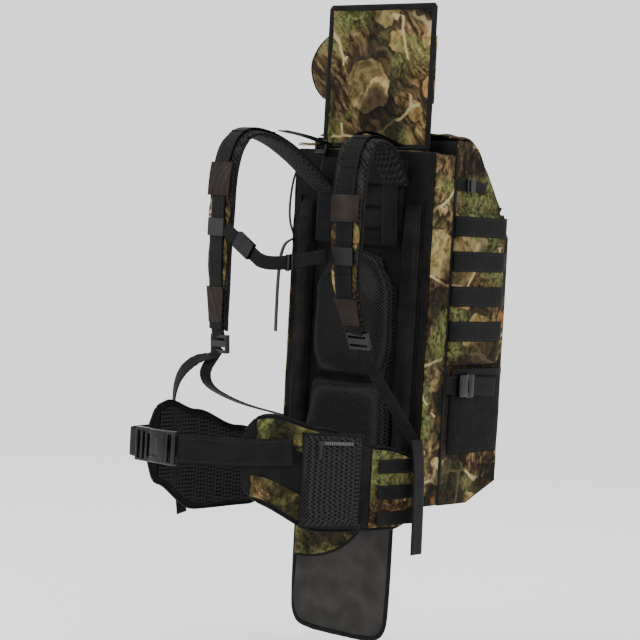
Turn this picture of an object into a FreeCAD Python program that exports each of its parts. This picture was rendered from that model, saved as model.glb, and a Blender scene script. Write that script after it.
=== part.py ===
"""Hunting backpack with a rifle channel, a muzzle hood, a stock flap, a hip belt and two shoulder straps.

Millimetres. X runs across the pack, +Y runs from the wearer's back into the bag, +Z is up. Left and right
are as seen when facing the back panel. The origin is the middle of the haul loop's gap, where the pack hangs.
Inside this file heights are measured from the bag's base and depths from the back panel's front face, and
place() and shaped() take the hook's own height and depth off them.
"""

import FreeCAD, Part
import math
import os
import Sketcher

Vector = FreeCAD.Vector
Rotation = FreeCAD.Rotation

doc = FreeCAD.newDocument("hunting_backpack")

# ---------------------------------------------------------------- driving dimensions

SIZES = {
    # where the pack hangs: behind the panel's face, and above the panel's top edge
    "hook_y": 3, "hook_rise": 17,
    # back panel, a sleeve with the stiffening inside it
    "panel_w": 336, "panel_deep": 18, "panel_low": 2, "panel_top": 655, "panel_corner": 22,
    "sleeve_w": 296, "sleeve_margin": 26, "sleeve_deep": 9, "sleeve_fit": 0.2,
    "sheet_deep": 2, "stay_w": 22, "stay_deep": 3, "stay_apart": 170, "cover_deep": 3,
    # pads on the wearer's side
    "spine_w": 200, "spine_low": 228, "spine_top": 470, "spine_deep": 22,
    "lumbar_low": 36, "lumbar_w_low": 204, "lumbar_w_top": 200, "lumbar_deep": 28, "pad_gap": 4,
    "yoke_w": 216, "yoke_top": 640, "yoke_deep": 12,
    "rail_w": 40, "rail_deep": 18, "rail_low": 40, "rail_top": 560,
    "soft_edge": 5, "pad_corner": 16,
    # bag shell round the main compartment, and the channel between it and the panel
    "channel_deep": 42, "gusset_top": 640, "fabric": 3, "seam_gap": 0.3,
    "bag_w": 344, "bag_deep": 178, "bag_tall": 680, "bag_shoulder_z": 500, "bag_mid_y": 104, "bag_mid_z": 614,
    "bag_top_deep": 46, "base_flat": 88, "base_rise": 38,
    # lid
    "lid_deep": 14, "lid_gap": 2.5, "lid_lip": 70, "tab_w": 38, "tab_long": 60, "tab_deep": 2, "tab_apart": 190,
    # hood above the channel
    "hood_back": 12, "hood_rise": 2, "hood_w": 262, "hood_tall": 274, "hood_deep": 3, "binding_w": 12,
    "apron_deep": 1.5, "apron_reach": 17,
    "binding_proud": 1.5, "ear_reach": 62, "ear_low": 88, "ear_high": 214, "ear_fold": 64, "ear_gap": 0.5,
    # stock flap below the panel
    "stock_w": 240, "stock_tall": 258, "stock_deep": 4, "stock_y": -6, "stock_gap": 5,
    "stock_corner": 58, "stock_yoke_tall": 112, "stock_yoke_w": 150,
    # side pockets and their webbing rows
    "pocket_low": 262, "pocket_tall": 286, "pocket_out": 15, "pocket_long": 156,
    "row_tall": 37, "row_pitch": 65, "row_low": 309, "row_count": 4,
    "lower_low": 96, "lower_tall": 156, "lower_out": 9, "lower_long": 154,
    "cinch_z": 588, "cinch_tall": 20, "cinch_long": 92,
    # front pocket with its zip
    "front_w": 220, "front_tall": 270, "front_low": 110, "front_out": 24,
    "zip_long": 196, "zip_tall": 6, "zip_deep": 2, "zip_drop": 26,
    "slider_long": 10, "slider_tall": 9, "slider_deep": 3, "pull_long": 26, "pull_w": 6,
    # hip belt
    "wing_deep": 14, "wing_low": -34, "wing_top": 172, "wing_out": 10, "wing_root_y": -3,
    "belt_tall": 50, "belt_z": 102,
    "buckle_y": -386, "buckle_right_x": -75, "buckle_tall": 62, "buckle_deep": 13, "buckle_wall": 2.2,
    "female_long": 66, "mouth_deep": 44, "male_long": 33, "mouth_gap": 0.8,
    "tongue_long": 36, "tongue_deep": 3.4, "tongue_tall": 9, "tongue_in": 5, "bar_slot": 5, "bar_w": 5,
    "hip_pocket_long": 114, "hip_pocket_in": 12, "hip_pocket_deep": 22, "hip_pocket_low": -28, "hip_pocket_tall": 172,
    "hip_row_long": 92, "hip_row_in": 8, "hip_row_tall": 25, "hip_row_pitch": 47, "hip_row_low": -22, "hip_row_count": 3,
    "hip_zip_long": 64, "hip_zip_drop": 20,
    # shoulder straps
    "strap_w": 66, "strap_deep": 13, "strap_web_w": 38, "web_deep": 2, "web_gap": 2.6, "small_web": 25,
    "strap_right_x": 88, "strap_right_turn": -3, "strap_left_x": -76, "strap_left_turn": 9,
    "lock_long": 34, "lock_w": 46, "lock_deep": 9, "lock_slot": 5,
    # chest strap
    "chest_z": 458, "chest_rise": 40, "chest_w": 46, "chest_tall": 32, "chest_plate": 3, "chest_lip": 1.4,
    "chest_lip_w": 6, "chest_clear": 0.5,
    "chest_buckle_long": 44, "chest_buckle_tall": 31, "chest_buckle_deep": 9,
    # haul loop, centred on the hook
    "loop_w": 56, "loop_rise": 35, "loop_deep": 3, "loop_wide": 18,
}

sheet = doc.addObject("Spreadsheet::Sheet", "sizes")
for row, (alias, value) in enumerate(SIZES.items(), start=1):
    sheet.set(f"A{row}", alias)
    sheet.set(f"B{row}", str(value))
    sheet.setAlias(f"B{row}", alias)
doc.recompute()


def size(alias):
    """A driving dimension as a number, for the shapes that are set by Part's own functions."""
    return float(sheet.get(alias))


# ---------------------------------------------------------------- small helpers

NODES = []


def expr(text):
    """Turns bare aliases into references to the sheet, so that 'panel_w / 2' becomes 'sizes.panel_w / 2'."""
    words = str(text).replace("(", " ( ").replace(")", " ) ").split()
    return " ".join(f"sizes.{w}" if w in SIZES else w for w in words)


def bind(thing, **bindings):
    for name, text in bindings.items():
        thing.setExpression(name, expr(text))


def place(thing, x="0", y="0", z="0"):
    """Binds a placement, given from the panel's face and the base, to the frame at the hook."""
    thing.setExpression("Placement.Base.x", expr(x))
    thing.setExpression("Placement.Base.y", expr(f"( {y} ) - hook_y"))
    thing.setExpression("Placement.Base.z", expr(f"( {z} ) - panel_top - hook_rise"))


def node(label, thing):
    """Registers a finished sub-part: its label is its file's name."""
    thing.Label = label
    NODES.append(thing)
    return thing


def box(name, length, width, height, x, y, z):
    made = doc.addObject("Part::Box", name)
    bind(made, Length=length, Width=width, Height=height)
    place(made, x, y, z)
    return made


def group(label, members):
    """Several separate solids in one node."""
    made = doc.addObject("Part::Compound", label)
    made.Links = members
    return node(label, made)


def shaped(label, shape):
    """A sub-part whose shape comes from Part's own functions, moved to the frame at the hook."""
    made = doc.addObject("Part::Feature", label)
    made.Shape = shape
    hook = FreeCAD.Placement(Vector(0, -size("hook_y"), -size("panel_top") - size("hook_rise")), Rotation())
    made.Placement = hook.multiply(shape.Placement)
    return node(label, made)


def origin_plane(body, role):
    return next(f for f in body.Origin.OriginFeatures if f.Role == role)


def edges_along(shape, direction):
    """Names of the straight edges that run along a direction."""
    found = []
    for number, edge in enumerate(shape.Edges, start=1):
        if edge.Curve.TypeId == "Part::GeomLine" and abs(abs(edge.Curve.Direction.dot(direction)) - 1) < 1e-6:
            found.append(f"Edge{number}")
    return found


def edges_at(shape, axis, level):
    """Names of the edges that lie wholly at one level along an axis."""
    found = []
    for number, edge in enumerate(shape.Edges, start=1):
        spots = [getattr(edge.valueAt(edge.FirstParameter + share * (edge.LastParameter - edge.FirstParameter)), axis)
                 for share in (0, 0.5, 1)]
        if all(abs(spot - level) < 1e-4 for spot in spots):
            found.append(f"Edge{number}")
    return found


def panel(label, role, outline, thick, x="0", y="0", z="0", corner=None, edge=None, reverse=False):
    """A sewn or moulded panel: a sketched outline, padded, with its corners and its outer edge rounded.

    The outline's corners are pairs of expressions in the sketch. On XZ_Plane the pad runs towards -Y, and
    on YZ_Plane towards +X, unless reverse is set.
    """
    body = doc.addObject("PartDesign::Body", label)
    sketch = body.newObject("Sketcher::SketchObject", label + "_outline")
    sketch.AttachmentSupport = (origin_plane(body, role), [""])
    sketch.MapMode = "FlatFace"
    count = len(outline)
    rough = [Vector(math.cos(2 * math.pi * i / count), math.sin(2 * math.pi * i / count), 0) for i in range(count)]
    for i in range(count):
        sketch.addGeometry(Part.LineSegment(rough[i], rough[(i + 1) % count]), False)
    for i in range(count):
        sketch.addConstraint(Sketcher.Constraint("Coincident", i, 2, (i + 1) % count, 1))
    for i, (across, up) in enumerate(outline):
        for kind, text, letter in (("DistanceX", across, "x"), ("DistanceY", up, "y")):
            index = sketch.addConstraint(Sketcher.Constraint(kind, i, 1, rough[i].x if letter == "x" else rough[i].y))
            sketch.renameConstraint(index, f"{letter}{i}")
            sketch.setExpression(f"Constraints.{letter}{i}", expr(text))
    doc.recompute()
    pad = body.newObject("PartDesign::Pad", label + "_pad")
    pad.Profile = sketch
    pad.Reversed = reverse
    bind(pad, Length=thick)
    doc.recompute()
    normal = Vector(0, 1, 0) if role == "XZ_Plane" else Vector(1, 0, 0)
    last = pad
    if corner:
        rounded = body.newObject("PartDesign::Fillet", label + "_corners")
        rounded.Base = (pad, edges_along(pad.Shape, normal))
        bind(rounded, Radius=corner)
        doc.recompute()
        last = rounded
    if edge:
        axis = "y" if role == "XZ_Plane" else "x"
        reach = size_of(thick) * (-1 if role == "XZ_Plane" else 1) * (-1 if reverse else 1)
        soft = body.newObject("PartDesign::Fillet", label + "_soft_edge")
        soft.Base = (last, edges_at(last.Shape, axis, reach))
        bind(soft, Radius=edge)
        doc.recompute()
    place(body, x, y, z)
    return node(label, body)


def size_of(text):
    """The number that an expression of aliases gives now."""
    return float(sheet.evalExpression(str(text)))


def rectangle(wide, low, high):
    return [(f"- {wide} / 2", low), (f"{wide} / 2", low), (f"{wide} / 2", high), (f"- {wide} / 2", high)]


def band_face(points, thick, shift=0, share=0.45):
    """A strip of even thickness along points in a plane, each corner rounded by a tangent arc.

    shift moves the strip off the line through the points, to its left, without moving the arcs' centres.
    """
    half = thick / 2
    points = [Vector(*p, 0) for p in points]
    runs = [(b - a).normalize() for a, b in zip(points, points[1:])]
    lengths = [(b - a).Length for a, b in zip(points, points[1:])]
    up = Vector(0, 0, 1)
    sides = {1: [], -1: []}
    for side in sides:
        off = shift + half * side
        last = points[0] + up.cross(runs[0]) * off
        for i in range(1, len(points) - 1):
            turn = runs[i - 1].getAngle(runs[i])
            reach = share * min(lengths[i - 1], lengths[i])
            radius = reach / math.tan(turn / 2)
            inward = 1 if runs[i - 1].cross(runs[i]).z > 0 else -1
            start = points[i] - runs[i - 1] * reach
            end = points[i] + runs[i] * reach
            centre = start + up.cross(runs[i - 1]) * radius * inward
            scale = (radius - off * inward) / radius
            first = centre + (start - centre) * scale
            final = centre + (end - centre) * scale
            middle = centre + ((start + end) / 2 - centre).normalize() * radius * scale
            sides[side].append(Part.LineSegment(last, first).toShape())
            sides[side].append(Part.Arc(first, middle, final).toShape())
            last = final
        sides[side].append(Part.LineSegment(last, points[-1] + up.cross(runs[-1]) * off).toShape())
    caps = [
        Part.LineSegment(*(p + up.cross(r) * (shift + half * side) for side in (1, -1))).toShape()
        for p, r in ((points[0], runs[0]), (points[-1], runs[-1]))
    ]
    edges = Part.__sortEdges__(sides[1] + sides[-1] + caps)
    return Part.Face(Part.Wire(edges))


def turned(shape, *rows):
    """The shape moved by a rigid transform, given as the three rows of its matrix."""
    matrix = FreeCAD.Matrix(*rows[0], *rows[1], *rows[2], 0, 0, 0, 1)
    moved = shape.copy()
    moved.Placement = FreeCAD.Placement(matrix).multiply(shape.Placement)
    return moved


def plan_band(points, thick, low, high, shift=0):
    """A band that stands on edge: its centreline is in plan, and it runs from low to high."""
    face = band_face(points, thick, shift)
    face.translate(Vector(0, 0, low))
    return face.extrude(Vector(0, 0, high - low))


def outward_band(points, thick, width, x, turn, shift=0):
    """A band in an upright plane through x. Its points are (out from the panel, height).

    turn swings the plane about Z, so that the band leans to the left as it runs out.
    """
    face = band_face(points, thick, shift)
    solid = face.extrude(Vector(0, 0, width))
    solid.translate(Vector(0, 0, -width / 2))
    # the face's X runs out from the panel, its Y runs up, and its normal runs across, to the other side
    solid = turned(solid, (0, 0, -1, 0), (-1, 0, 0, 0), (0, 1, 0, 0))
    solid.rotate(Vector(0, 0, 0), Vector(0, 0, 1), -turn)
    solid.translate(Vector(x, 0, 0))
    return solid


def webbing(points, width, thick, across):
    """Flat webbing along straight runs between points. across is the direction of its width."""
    points = [Vector(*p) for p in points]
    across = Vector(*across)
    pieces = []
    for a, b in zip(points, points[1:]):
        along = (b - a).normalize()
        side = (across - along * across.dot(along)).normalize()
        normal = along.cross(side)
        lap = thick / 2
        corner = a - along * lap - side * width / 2 - normal * thick / 2
        strip = Part.makeBox((b - a).Length + 2 * lap, width, thick)
        pieces.append(turned(strip, *zip(along, side, normal, corner)))
    whole = pieces[0].multiFuse(pieces[1:]) if len(pieces) > 1 else pieces[0]
    return whole.removeSplitter()


def mirrored_x(label, source):
    """The same piece on the other side of the pack."""
    made = doc.addObject("Part::Mirroring", label)
    made.Source = source
    made.Normal = Vector(1, 0, 0)
    return node(label, made)


def midpoint(a, b):
    return ((a[0] + b[0]) / 2, (a[1] + b[1]) / 2)


def slanted_box(length, width, height, start, end, along, off, z):
    """A box whose length lies along the plan line from start to end, off to its outer side."""
    run = Vector(end[0] - start[0], end[1] - start[1], 0)
    turn = math.degrees(math.atan2(run.y, run.x))
    run.normalize()
    side = Vector(-run.y, run.x, 0)
    corner = Vector(start[0], start[1], 0) + run * along + side * off
    made = Part.makeBox(length, width, height)
    made.rotate(Vector(0, 0, 0), Vector(0, 0, 1), turn)
    made.translate(Vector(corner.x, corner.y, z))
    return made


# ---------------------------------------------------------------- back panel and stiffening


def sleeve():
    """The outline of the sleeve inside the panel."""
    half = "sleeve_w / 2"
    low = "panel_low + sleeve_margin"
    high = "panel_top - sleeve_margin"
    return [(f"- ( {half} )", low), (half, low), (half, high), (f"- ( {half} )", high)]


def make_back_panel():
    """Foam and fabric sleeve, open at the back for the frame sheet and the stays."""
    body = panel("back_panel", "XZ_Plane", rectangle("panel_w", "panel_low", "panel_top"), "panel_deep",
                 corner="panel_corner", edge="soft_edge", reverse=False)
    sketch = body.newObject("Sketcher::SketchObject", "sleeve_outline")
    sketch.AttachmentSupport = (origin_plane(body, "XZ_Plane"), [""])
    sketch.MapMode = "FlatFace"
    corners = sleeve()
    for i in range(4):
        sketch.addGeometry(Part.LineSegment(Vector(i % 2, i // 2, 0), Vector(i % 2, i // 2 + 1, 0)), False)
    for i in range(4):
        sketch.addConstraint(Sketcher.Constraint("Coincident", i, 2, (i + 1) % 4, 1))
    for i, (across, up) in enumerate(corners):
        for kind, text, letter in (("DistanceX", across, "x"), ("DistanceY", up, "y")):
            index = sketch.addConstraint(Sketcher.Constraint(kind, i, 1, 1.0))
            sketch.renameConstraint(index, f"{letter}{i}")
            sketch.setExpression(f"Constraints.{letter}{i}", expr(text))
    cut = body.newObject("PartDesign::Pocket", "sleeve_pocket")
    cut.Profile = sketch
    cut.Reversed = True
    bind(cut, Length="sleeve_deep")
    place(body, y="panel_deep")
    return body


def make_stiffening():
    inner = "sleeve_w - 2 * sleeve_fit"
    tall = "panel_top - panel_low - 2 * sleeve_margin - 2 * sleeve_fit"
    low = "panel_low + sleeve_margin + sleeve_fit"
    front = "panel_deep - sleeve_deep + sleeve_fit"
    node("frame_sheet", box("frame_sheet", inner, "sheet_deep", tall, "- sleeve_w / 2 + sleeve_fit", front, low))
    stays = [
        box(f"stay_{i}", "stay_w", "stay_deep", f"{tall} - 2 * stay_w", f"{side} * stay_apart / 2 - stay_w / 2",
            f"{front} + sheet_deep", f"{low} + stay_w")
        for i, side in enumerate((-1, 1))
    ]
    group("frame_stays", stays)
    node("sleeve_cover", box("sleeve_cover", inner, "cover_deep", tall, "- sleeve_w / 2 + sleeve_fit",
                             "panel_deep - cover_deep", low))


def make_pads():
    panel("spine_pad", "XZ_Plane", rectangle("spine_w", "spine_low", "spine_top"), "spine_deep",
          corner="pad_corner", edge="soft_edge")
    panel("lumbar_pad", "XZ_Plane",
          [("- lumbar_w_low / 2", "lumbar_low"), ("lumbar_w_low / 2", "lumbar_low"),
           ("lumbar_w_top / 2", "spine_low - pad_gap"), ("- lumbar_w_top / 2", "spine_low - pad_gap")],
          "lumbar_deep", corner="pad_corner", edge="soft_edge")
    panel("harness_yoke", "XZ_Plane", rectangle("yoke_w", "spine_top + pad_gap", "yoke_top"), "yoke_deep",
          corner="pad_corner", edge="soft_edge")
    near = "spine_w / 2 + 2 * pad_gap"
    right = panel("rail_right", "XZ_Plane",
                  [(near, "rail_low"), (f"{near} + rail_w", "rail_low"), (f"{near} + rail_w", "rail_top"),
                   (near, "rail_top")], "rail_deep", corner="pad_corner", edge="soft_edge")
    mirrored_x("rail_left", right)


# ---------------------------------------------------------------- bag and channel


def make_gussets():
    right = box("gusset_right", "fabric", "channel_deep - 2 * seam_gap", "gusset_top - panel_low",
                "bag_w / 2 - fabric", "panel_deep + seam_gap", "panel_low")
    node("gusset_right", right)
    mirrored_x("gusset_left", right)


def make_bag():
    near = "panel_deep + channel_deep"
    far = f"{near} + bag_deep"
    node("bag_back", box("bag_back", "bag_w", "fabric", "bag_tall - fabric - seam_gap", "- bag_w / 2", near,
                         "fabric + seam_gap"))
    node("bag_front", box("bag_front", "bag_w", "fabric", "bag_shoulder_z - base_rise - fabric - seam_gap",
                          "- bag_w / 2", f"{far} - fabric", "base_rise + fabric + seam_gap"))
    inside_near = f"{near} + fabric + seam_gap"
    inside_far = f"{far} - fabric - seam_gap"
    floor = "fabric + seam_gap"
    outline = [
        (inside_near, floor), (f"{near} + base_flat", floor), (inside_far, f"base_rise + {floor} + seam_gap"),
        (inside_far, "bag_shoulder_z"), (f"{near} + bag_mid_y", "bag_mid_z"), (f"{near} + bag_top_deep", "bag_tall"),
        (inside_near, "bag_tall"),
    ]
    right = panel("bag_side_right", "YZ_Plane", outline, "fabric", x="bag_w / 2 - fabric")
    mirrored_x("bag_side_left", right)
    panel("bag_base", "YZ_Plane",
          [(near, "0"), (f"{near} + base_flat", "0"), (far, "base_rise"), (far, "base_rise + fabric"),
           (f"{near} + base_flat - seam_gap", "fabric"), (near, "fabric")],
          "bag_w", x="- bag_w / 2")


def make_front_pocket():
    """A shallow pocket, hollow behind its face, with a zip across its upper part."""
    far = "panel_deep + channel_deep + bag_deep + seam_gap"
    outer = box("front_pocket_outer", "front_w", "front_out", "front_tall", "- front_w / 2", far, "front_low")
    inner = box("front_pocket_inner", "front_w - 2 * fabric", "front_out - fabric", "front_tall - 2 * fabric",
                "- front_w / 2 + fabric", far, "front_low + fabric")
    rounded = doc.addObject("Part::Fillet", "front_pocket_rounded")
    rounded.Base = outer
    doc.recompute()
    face_y = max(edge.BoundBox.YMax for edge in outer.Shape.Edges)
    rounded.Edges = [(number, size("pad_corner") / 2, size("pad_corner") / 2)
                     for number, edge in enumerate(outer.Shape.Edges, start=1)
                     if edge.BoundBox.YMin > face_y - 1e-3]
    hollow = doc.addObject("Part::Cut", "front_pocket")
    hollow.Base = rounded
    hollow.Tool = inner
    node("front_pocket", hollow)
    height = "front_low + front_tall - zip_drop"
    face = f"{far} + front_out"
    node("front_zip", box("front_zip", "zip_long", "zip_deep", "zip_tall", "- zip_long / 2", face, height))
    slider = box("front_slider", "slider_long", "slider_deep", "slider_tall", "- zip_long / 2",
                 f"{face} + zip_deep + seam_gap", f"{height} + zip_tall / 2 - slider_tall / 2")
    pull = box("front_pull", "pull_w", "slider_deep / 2", "pull_long",
               "- zip_long / 2 + slider_long / 2 - pull_w / 2", f"{face} + zip_deep + seam_gap",
               f"{height} + zip_tall / 2 - pull_long")
    joined = doc.addObject("Part::Fuse", "front_zip_slider")
    joined.Base = slider
    joined.Tool = pull
    node("front_zip_slider", joined)


# ---------------------------------------------------------------- pockets, straps and locks on the sides


def ladder_lock(long, wide, deep, slot):
    """A flat buckle with two webbing slots, lying in XY with its length along X, centred on the origin."""
    body = Part.makeBox(long, wide, deep, Vector(-long / 2, -wide / 2, -deep / 2))
    rim = (wide - size("strap_web_w")) / 2
    for place_x in (-long / 4, long / 4):
        body = body.cut(Part.makeBox(slot, wide - 1.6 * rim, deep, Vector(place_x - slot / 2, -wide / 2 + 0.8 * rim,
                                                                        -deep / 2)))
    return body


def make_sides():
    near = "panel_deep + channel_deep + seam_gap"
    wall = "bag_w / 2"
    pocket = panel("side_pocket_right", "YZ_Plane",
                   [(near, "pocket_low"), (f"{near} + pocket_long", "pocket_low"),
                    (f"{near} + pocket_long", "pocket_low + pocket_tall"), (near, "pocket_low + pocket_tall")],
                   "pocket_out", x=f"{wall} + seam_gap", corner="pad_corner", edge="soft_edge")
    mirrored_x("side_pocket_left", pocket)
    start = f"{near} + lower_long / 8"
    lower = panel("lower_pocket_right", "YZ_Plane",
                  [(start, "lower_low"), (f"{start} + lower_long", "lower_low"),
                   (f"{start} + lower_long", "lower_low + lower_tall"), (start, "lower_low + lower_tall")],
                  "lower_out", x=f"{wall} + seam_gap", corner="pad_corner")
    mirrored_x("lower_pocket_left", lower)
    out = f"{wall} + pocket_out + 2 * seam_gap"
    rows = [
        box(f"side_row_{i}", "web_deep", "pocket_long", "row_tall", out, near, f"row_low + {i} * row_pitch")
        for i in range(int(size("row_count")))
    ]
    rows.append(box("side_cinch", "web_deep", "cinch_long", "cinch_tall", f"{wall} + seam_gap", near, "cinch_z"))
    right = group("side_webbing_right", rows)
    mirrored_x("side_webbing_left", right)


# ---------------------------------------------------------------- haul loop


def make_haul_loop():
    half = (size("loop_w") - size("loop_deep")) / 2
    foot = size("panel_top") + size("seam_gap")
    top = size("panel_top") + size("loop_rise") - size("loop_deep") / 2
    path = [(-half, foot), (-half, top), (half, top), (half, foot)]
    arch = band_face(path, size("loop_deep")).extrude(Vector(0, 0, size("loop_wide")))
    arch = turned(arch, (1, 0, 0, 0), (0, 0, -1, 0), (0, 1, 0, 0))
    arch.translate(Vector(0, size("hook_y") + size("loop_wide") / 2, 0))
    shaped("haul_loop", arch)


# ---------------------------------------------------------------- lid


def make_lid():
    """A padded flap that follows the bag's mouth over the top and down its slope."""
    near = size_of("panel_deep + channel_deep")
    top = size("bag_tall")
    path = [(near + 2 * size("lid_gap"), top), (near + size("bag_top_deep"), top),
            (near + size("bag_mid_y"), size("bag_mid_z"))]
    slope = Vector(size("bag_deep") - size("bag_mid_y"), size("bag_shoulder_z") - size("bag_mid_z"), 0).normalize()
    path.append((path[-1][0] + slope.x * size("lid_lip"), path[-1][1] + slope.y * size("lid_lip")))
    wide = size("bag_w")

    def layer(low, deep, width, x):
        face = band_face(path, deep, low + deep / 2, share=0.15)
        solid = face.extrude(Vector(0, 0, width))
        solid = turned(solid, (0, 0, 1, 0), (1, 0, 0, 0), (0, 1, 0, 0))
        solid.translate(Vector(x, 0, 0))
        return solid

    shaped("lid_panel", layer(size("lid_gap"), size("lid_deep"), wide, -wide / 2))
    tail = Vector(*path[-1], 0)
    out = Vector(-slope.y, slope.x, 0)
    tabs = []
    patches = []
    for side in (-1, 1):
        x = side * size("tab_apart") / 2 - size("tab_w") / 2
        for start, long, off, deep, kept in (
            (2, size("tab_long"), size("lid_gap"), size("tab_deep"), tabs),
            (6, size("tab_long") / 2, 0.3, size("lid_gap") - 0.8, patches),
        ):
            first = tail + slope * start + out * off
            corner = Vector(x, first.x, first.y)
            piece = Part.makeBox(size("tab_w"), long, deep)
            piece.rotate(Vector(0, 0, 0), Vector(1, 0, 0), math.degrees(math.atan2(slope.y, slope.x)))
            piece.translate(corner)
            kept.append(piece)
    shaped("lid_tabs", Part.makeCompound(tabs))
    shaped("lid_catches", Part.makeCompound(patches))


# ---------------------------------------------------------------- hood and stock flap


def make_hood():
    base = "panel_top + hood_rise"
    low, high = f"{base} + 2 * seam_gap", f"{base} + hood_tall"
    y = "panel_deep + hood_back - hood_deep / 2"
    inner = "hood_w - 2 * binding_w"
    node("hood_panel", box("hood_panel", inner, "hood_deep", "hood_tall - binding_w - 2 * seam_gap",
                           f"- ( {inner} ) / 2", y, low))
    frame = box("hood_frame", "hood_w", "hood_deep + 2 * binding_proud", "hood_tall - 2 * seam_gap", "- hood_w / 2",
                f"{y} - binding_proud", low)
    gap = box("hood_frame_gap", inner, "hood_deep + 2 * binding_proud", "hood_tall - binding_w - 2 * seam_gap",
              f"- ( {inner} ) / 2", f"{y} - binding_proud", low)
    cut = doc.addObject("Part::Cut", "hood_binding")
    cut.Base = frame
    cut.Tool = gap
    node("hood_binding", cut)
    node("hood_apron", box("hood_apron", "hood_w", "apron_reach", "apron_deep", "- hood_w / 2",
                           "panel_deep + hood_back - apron_reach", "panel_top + seam_gap"))
    ear_low, ear_tall = f"{base} + ear_low", "ear_high - ear_low"
    back = f"{y} + hood_deep + binding_proud + ear_gap"
    node("hood_ear_left", box("hood_ear_left", "ear_reach", "hood_deep", ear_tall,
                              "- hood_w / 2 - ear_reach + binding_w", back, ear_low))
    node("hood_ear_right", box("hood_ear_right", "ear_fold", "hood_deep", ear_tall,
                               "hood_w / 2 - ear_fold", back, ear_low))


def make_stock_flap():
    """A flap that hangs from the panel's lower edge and folds up under the base over a rifle's butt."""
    top, low = "- stock_gap", "- stock_gap - stock_tall"
    flap = panel("stock_flap", "XZ_Plane", rectangle("stock_w", low, top), "stock_deep", y="stock_y + stock_deep")
    plain = flap.Tip
    lowest = [f"Edge{number}" for number, edge in enumerate(plain.Shape.Edges, start=1)
              if edge.BoundBox.ZMax < size_of(low) + 1e-3 and edge.BoundBox.YLength > size("stock_deep") / 2]
    rounded = flap.newObject("PartDesign::Fillet", "stock_flap_lower_corners")
    rounded.Base = (plain, lowest)
    bind(rounded, Radius="stock_corner")
    doc.recompute()
    yoke_x = "- stock_w / 2 + binding_w / 2"
    panel("stock_yoke", "XZ_Plane",
          [(yoke_x, f"{top} - stock_yoke_tall"), (f"{yoke_x} + stock_yoke_w / 2", f"{top} - stock_yoke_tall * 0.8"),
           (f"{yoke_x} + stock_yoke_w", f"{top} - stock_yoke_tall * 0.3"), (f"{yoke_x} + stock_yoke_w", top),
           (yoke_x, top)], "web_deep", y="stock_y - seam_gap")


# ---------------------------------------------------------------- hip belt

# each wing's line in plan, from where it leaves the panel's edge
LEFT_WING = [(0, 0), (-16, -109), (-38, -222), (-32, -323)]
RIGHT_WING = [(0, 0), (-16, -118), (-104, -235), (-170, -301)]
# the outline that both wings share, seen from the side
WING_SIDE = [(0, -6), (0, 94), (-104, 118), (-270, 172), (-310, 160), (-335, 122), (-335, 70), (-300, 20),
             (-195, -34), (-70, -30)]


def wing_line(side, points):
    root = side * (size("panel_w") / 2 + size("wing_out"))
    return [(root + x, size("wing_root_y") + y) for x, y in points]


def wing(path):
    low, high = size("wing_low"), size("wing_top")
    band = plan_band(path, size("wing_deep"), low, high)
    outline = [Vector(-400, y, z) for y, z in WING_SIDE]
    profile = Part.Face(Part.makePolygon(outline + outline[:1])).extrude(Vector(800, 0, 0))
    return band.common(profile)


def buckle_block(x_from, x_to, y_half, z_half, y=0, z=0):
    return Part.makeBox(x_to - x_from, 2 * y_half, 2 * z_half, Vector(x_from, y - y_half, z - z_half))


def make_hip_buckle():
    """Side-release buckle: the male half's tongues lie in the female half's shell with room to swing out."""
    right = size("buckle_right_x")
    mouth = right - size("female_long")
    deep, tall, wall = size("buckle_deep") / 2, size("buckle_tall") / 2, size("buckle_wall")
    female = buckle_block(mouth, right, deep, tall)
    female = female.cut(buckle_block(mouth, mouth + size("mouth_deep"), deep - wall, tall - wall))
    bar = right - size("bar_w") - size("bar_slot")
    female = female.cut(buckle_block(bar, bar + size("bar_slot"), deep, size("belt_tall") / 2 + 1))
    window = size("tongue_long")
    for side in (-1, 1):
        female = female.cut(buckle_block(mouth + window / 3, mouth + window, deep - wall, wall, z=side * tall))
    base_to = mouth - size("mouth_gap")
    base_from = base_to - size("male_long")
    male = buckle_block(base_from, base_to, deep, tall)
    for share in (0.22, 0.58):
        slot = base_from + share * size("male_long")
        male = male.cut(buckle_block(slot, slot + size("bar_slot"), deep, size("belt_tall") / 2 + 1))
    reach = base_to + size("tongue_long")
    edge = tall - wall - size("tongue_in")
    for z in (-edge + size("tongue_tall") / 2, 0, edge - size("tongue_tall") / 2):
        male = male.fuse(buckle_block(base_to - 1, reach, size("tongue_deep") / 2, size("tongue_tall") / 2, z=z))
    for piece, label in ((female, "buckle_female"), (male.removeSplitter(), "buckle_male")):
        piece.translate(Vector(0, size("buckle_y"), size("belt_z")))
        shaped(label, piece)


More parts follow.
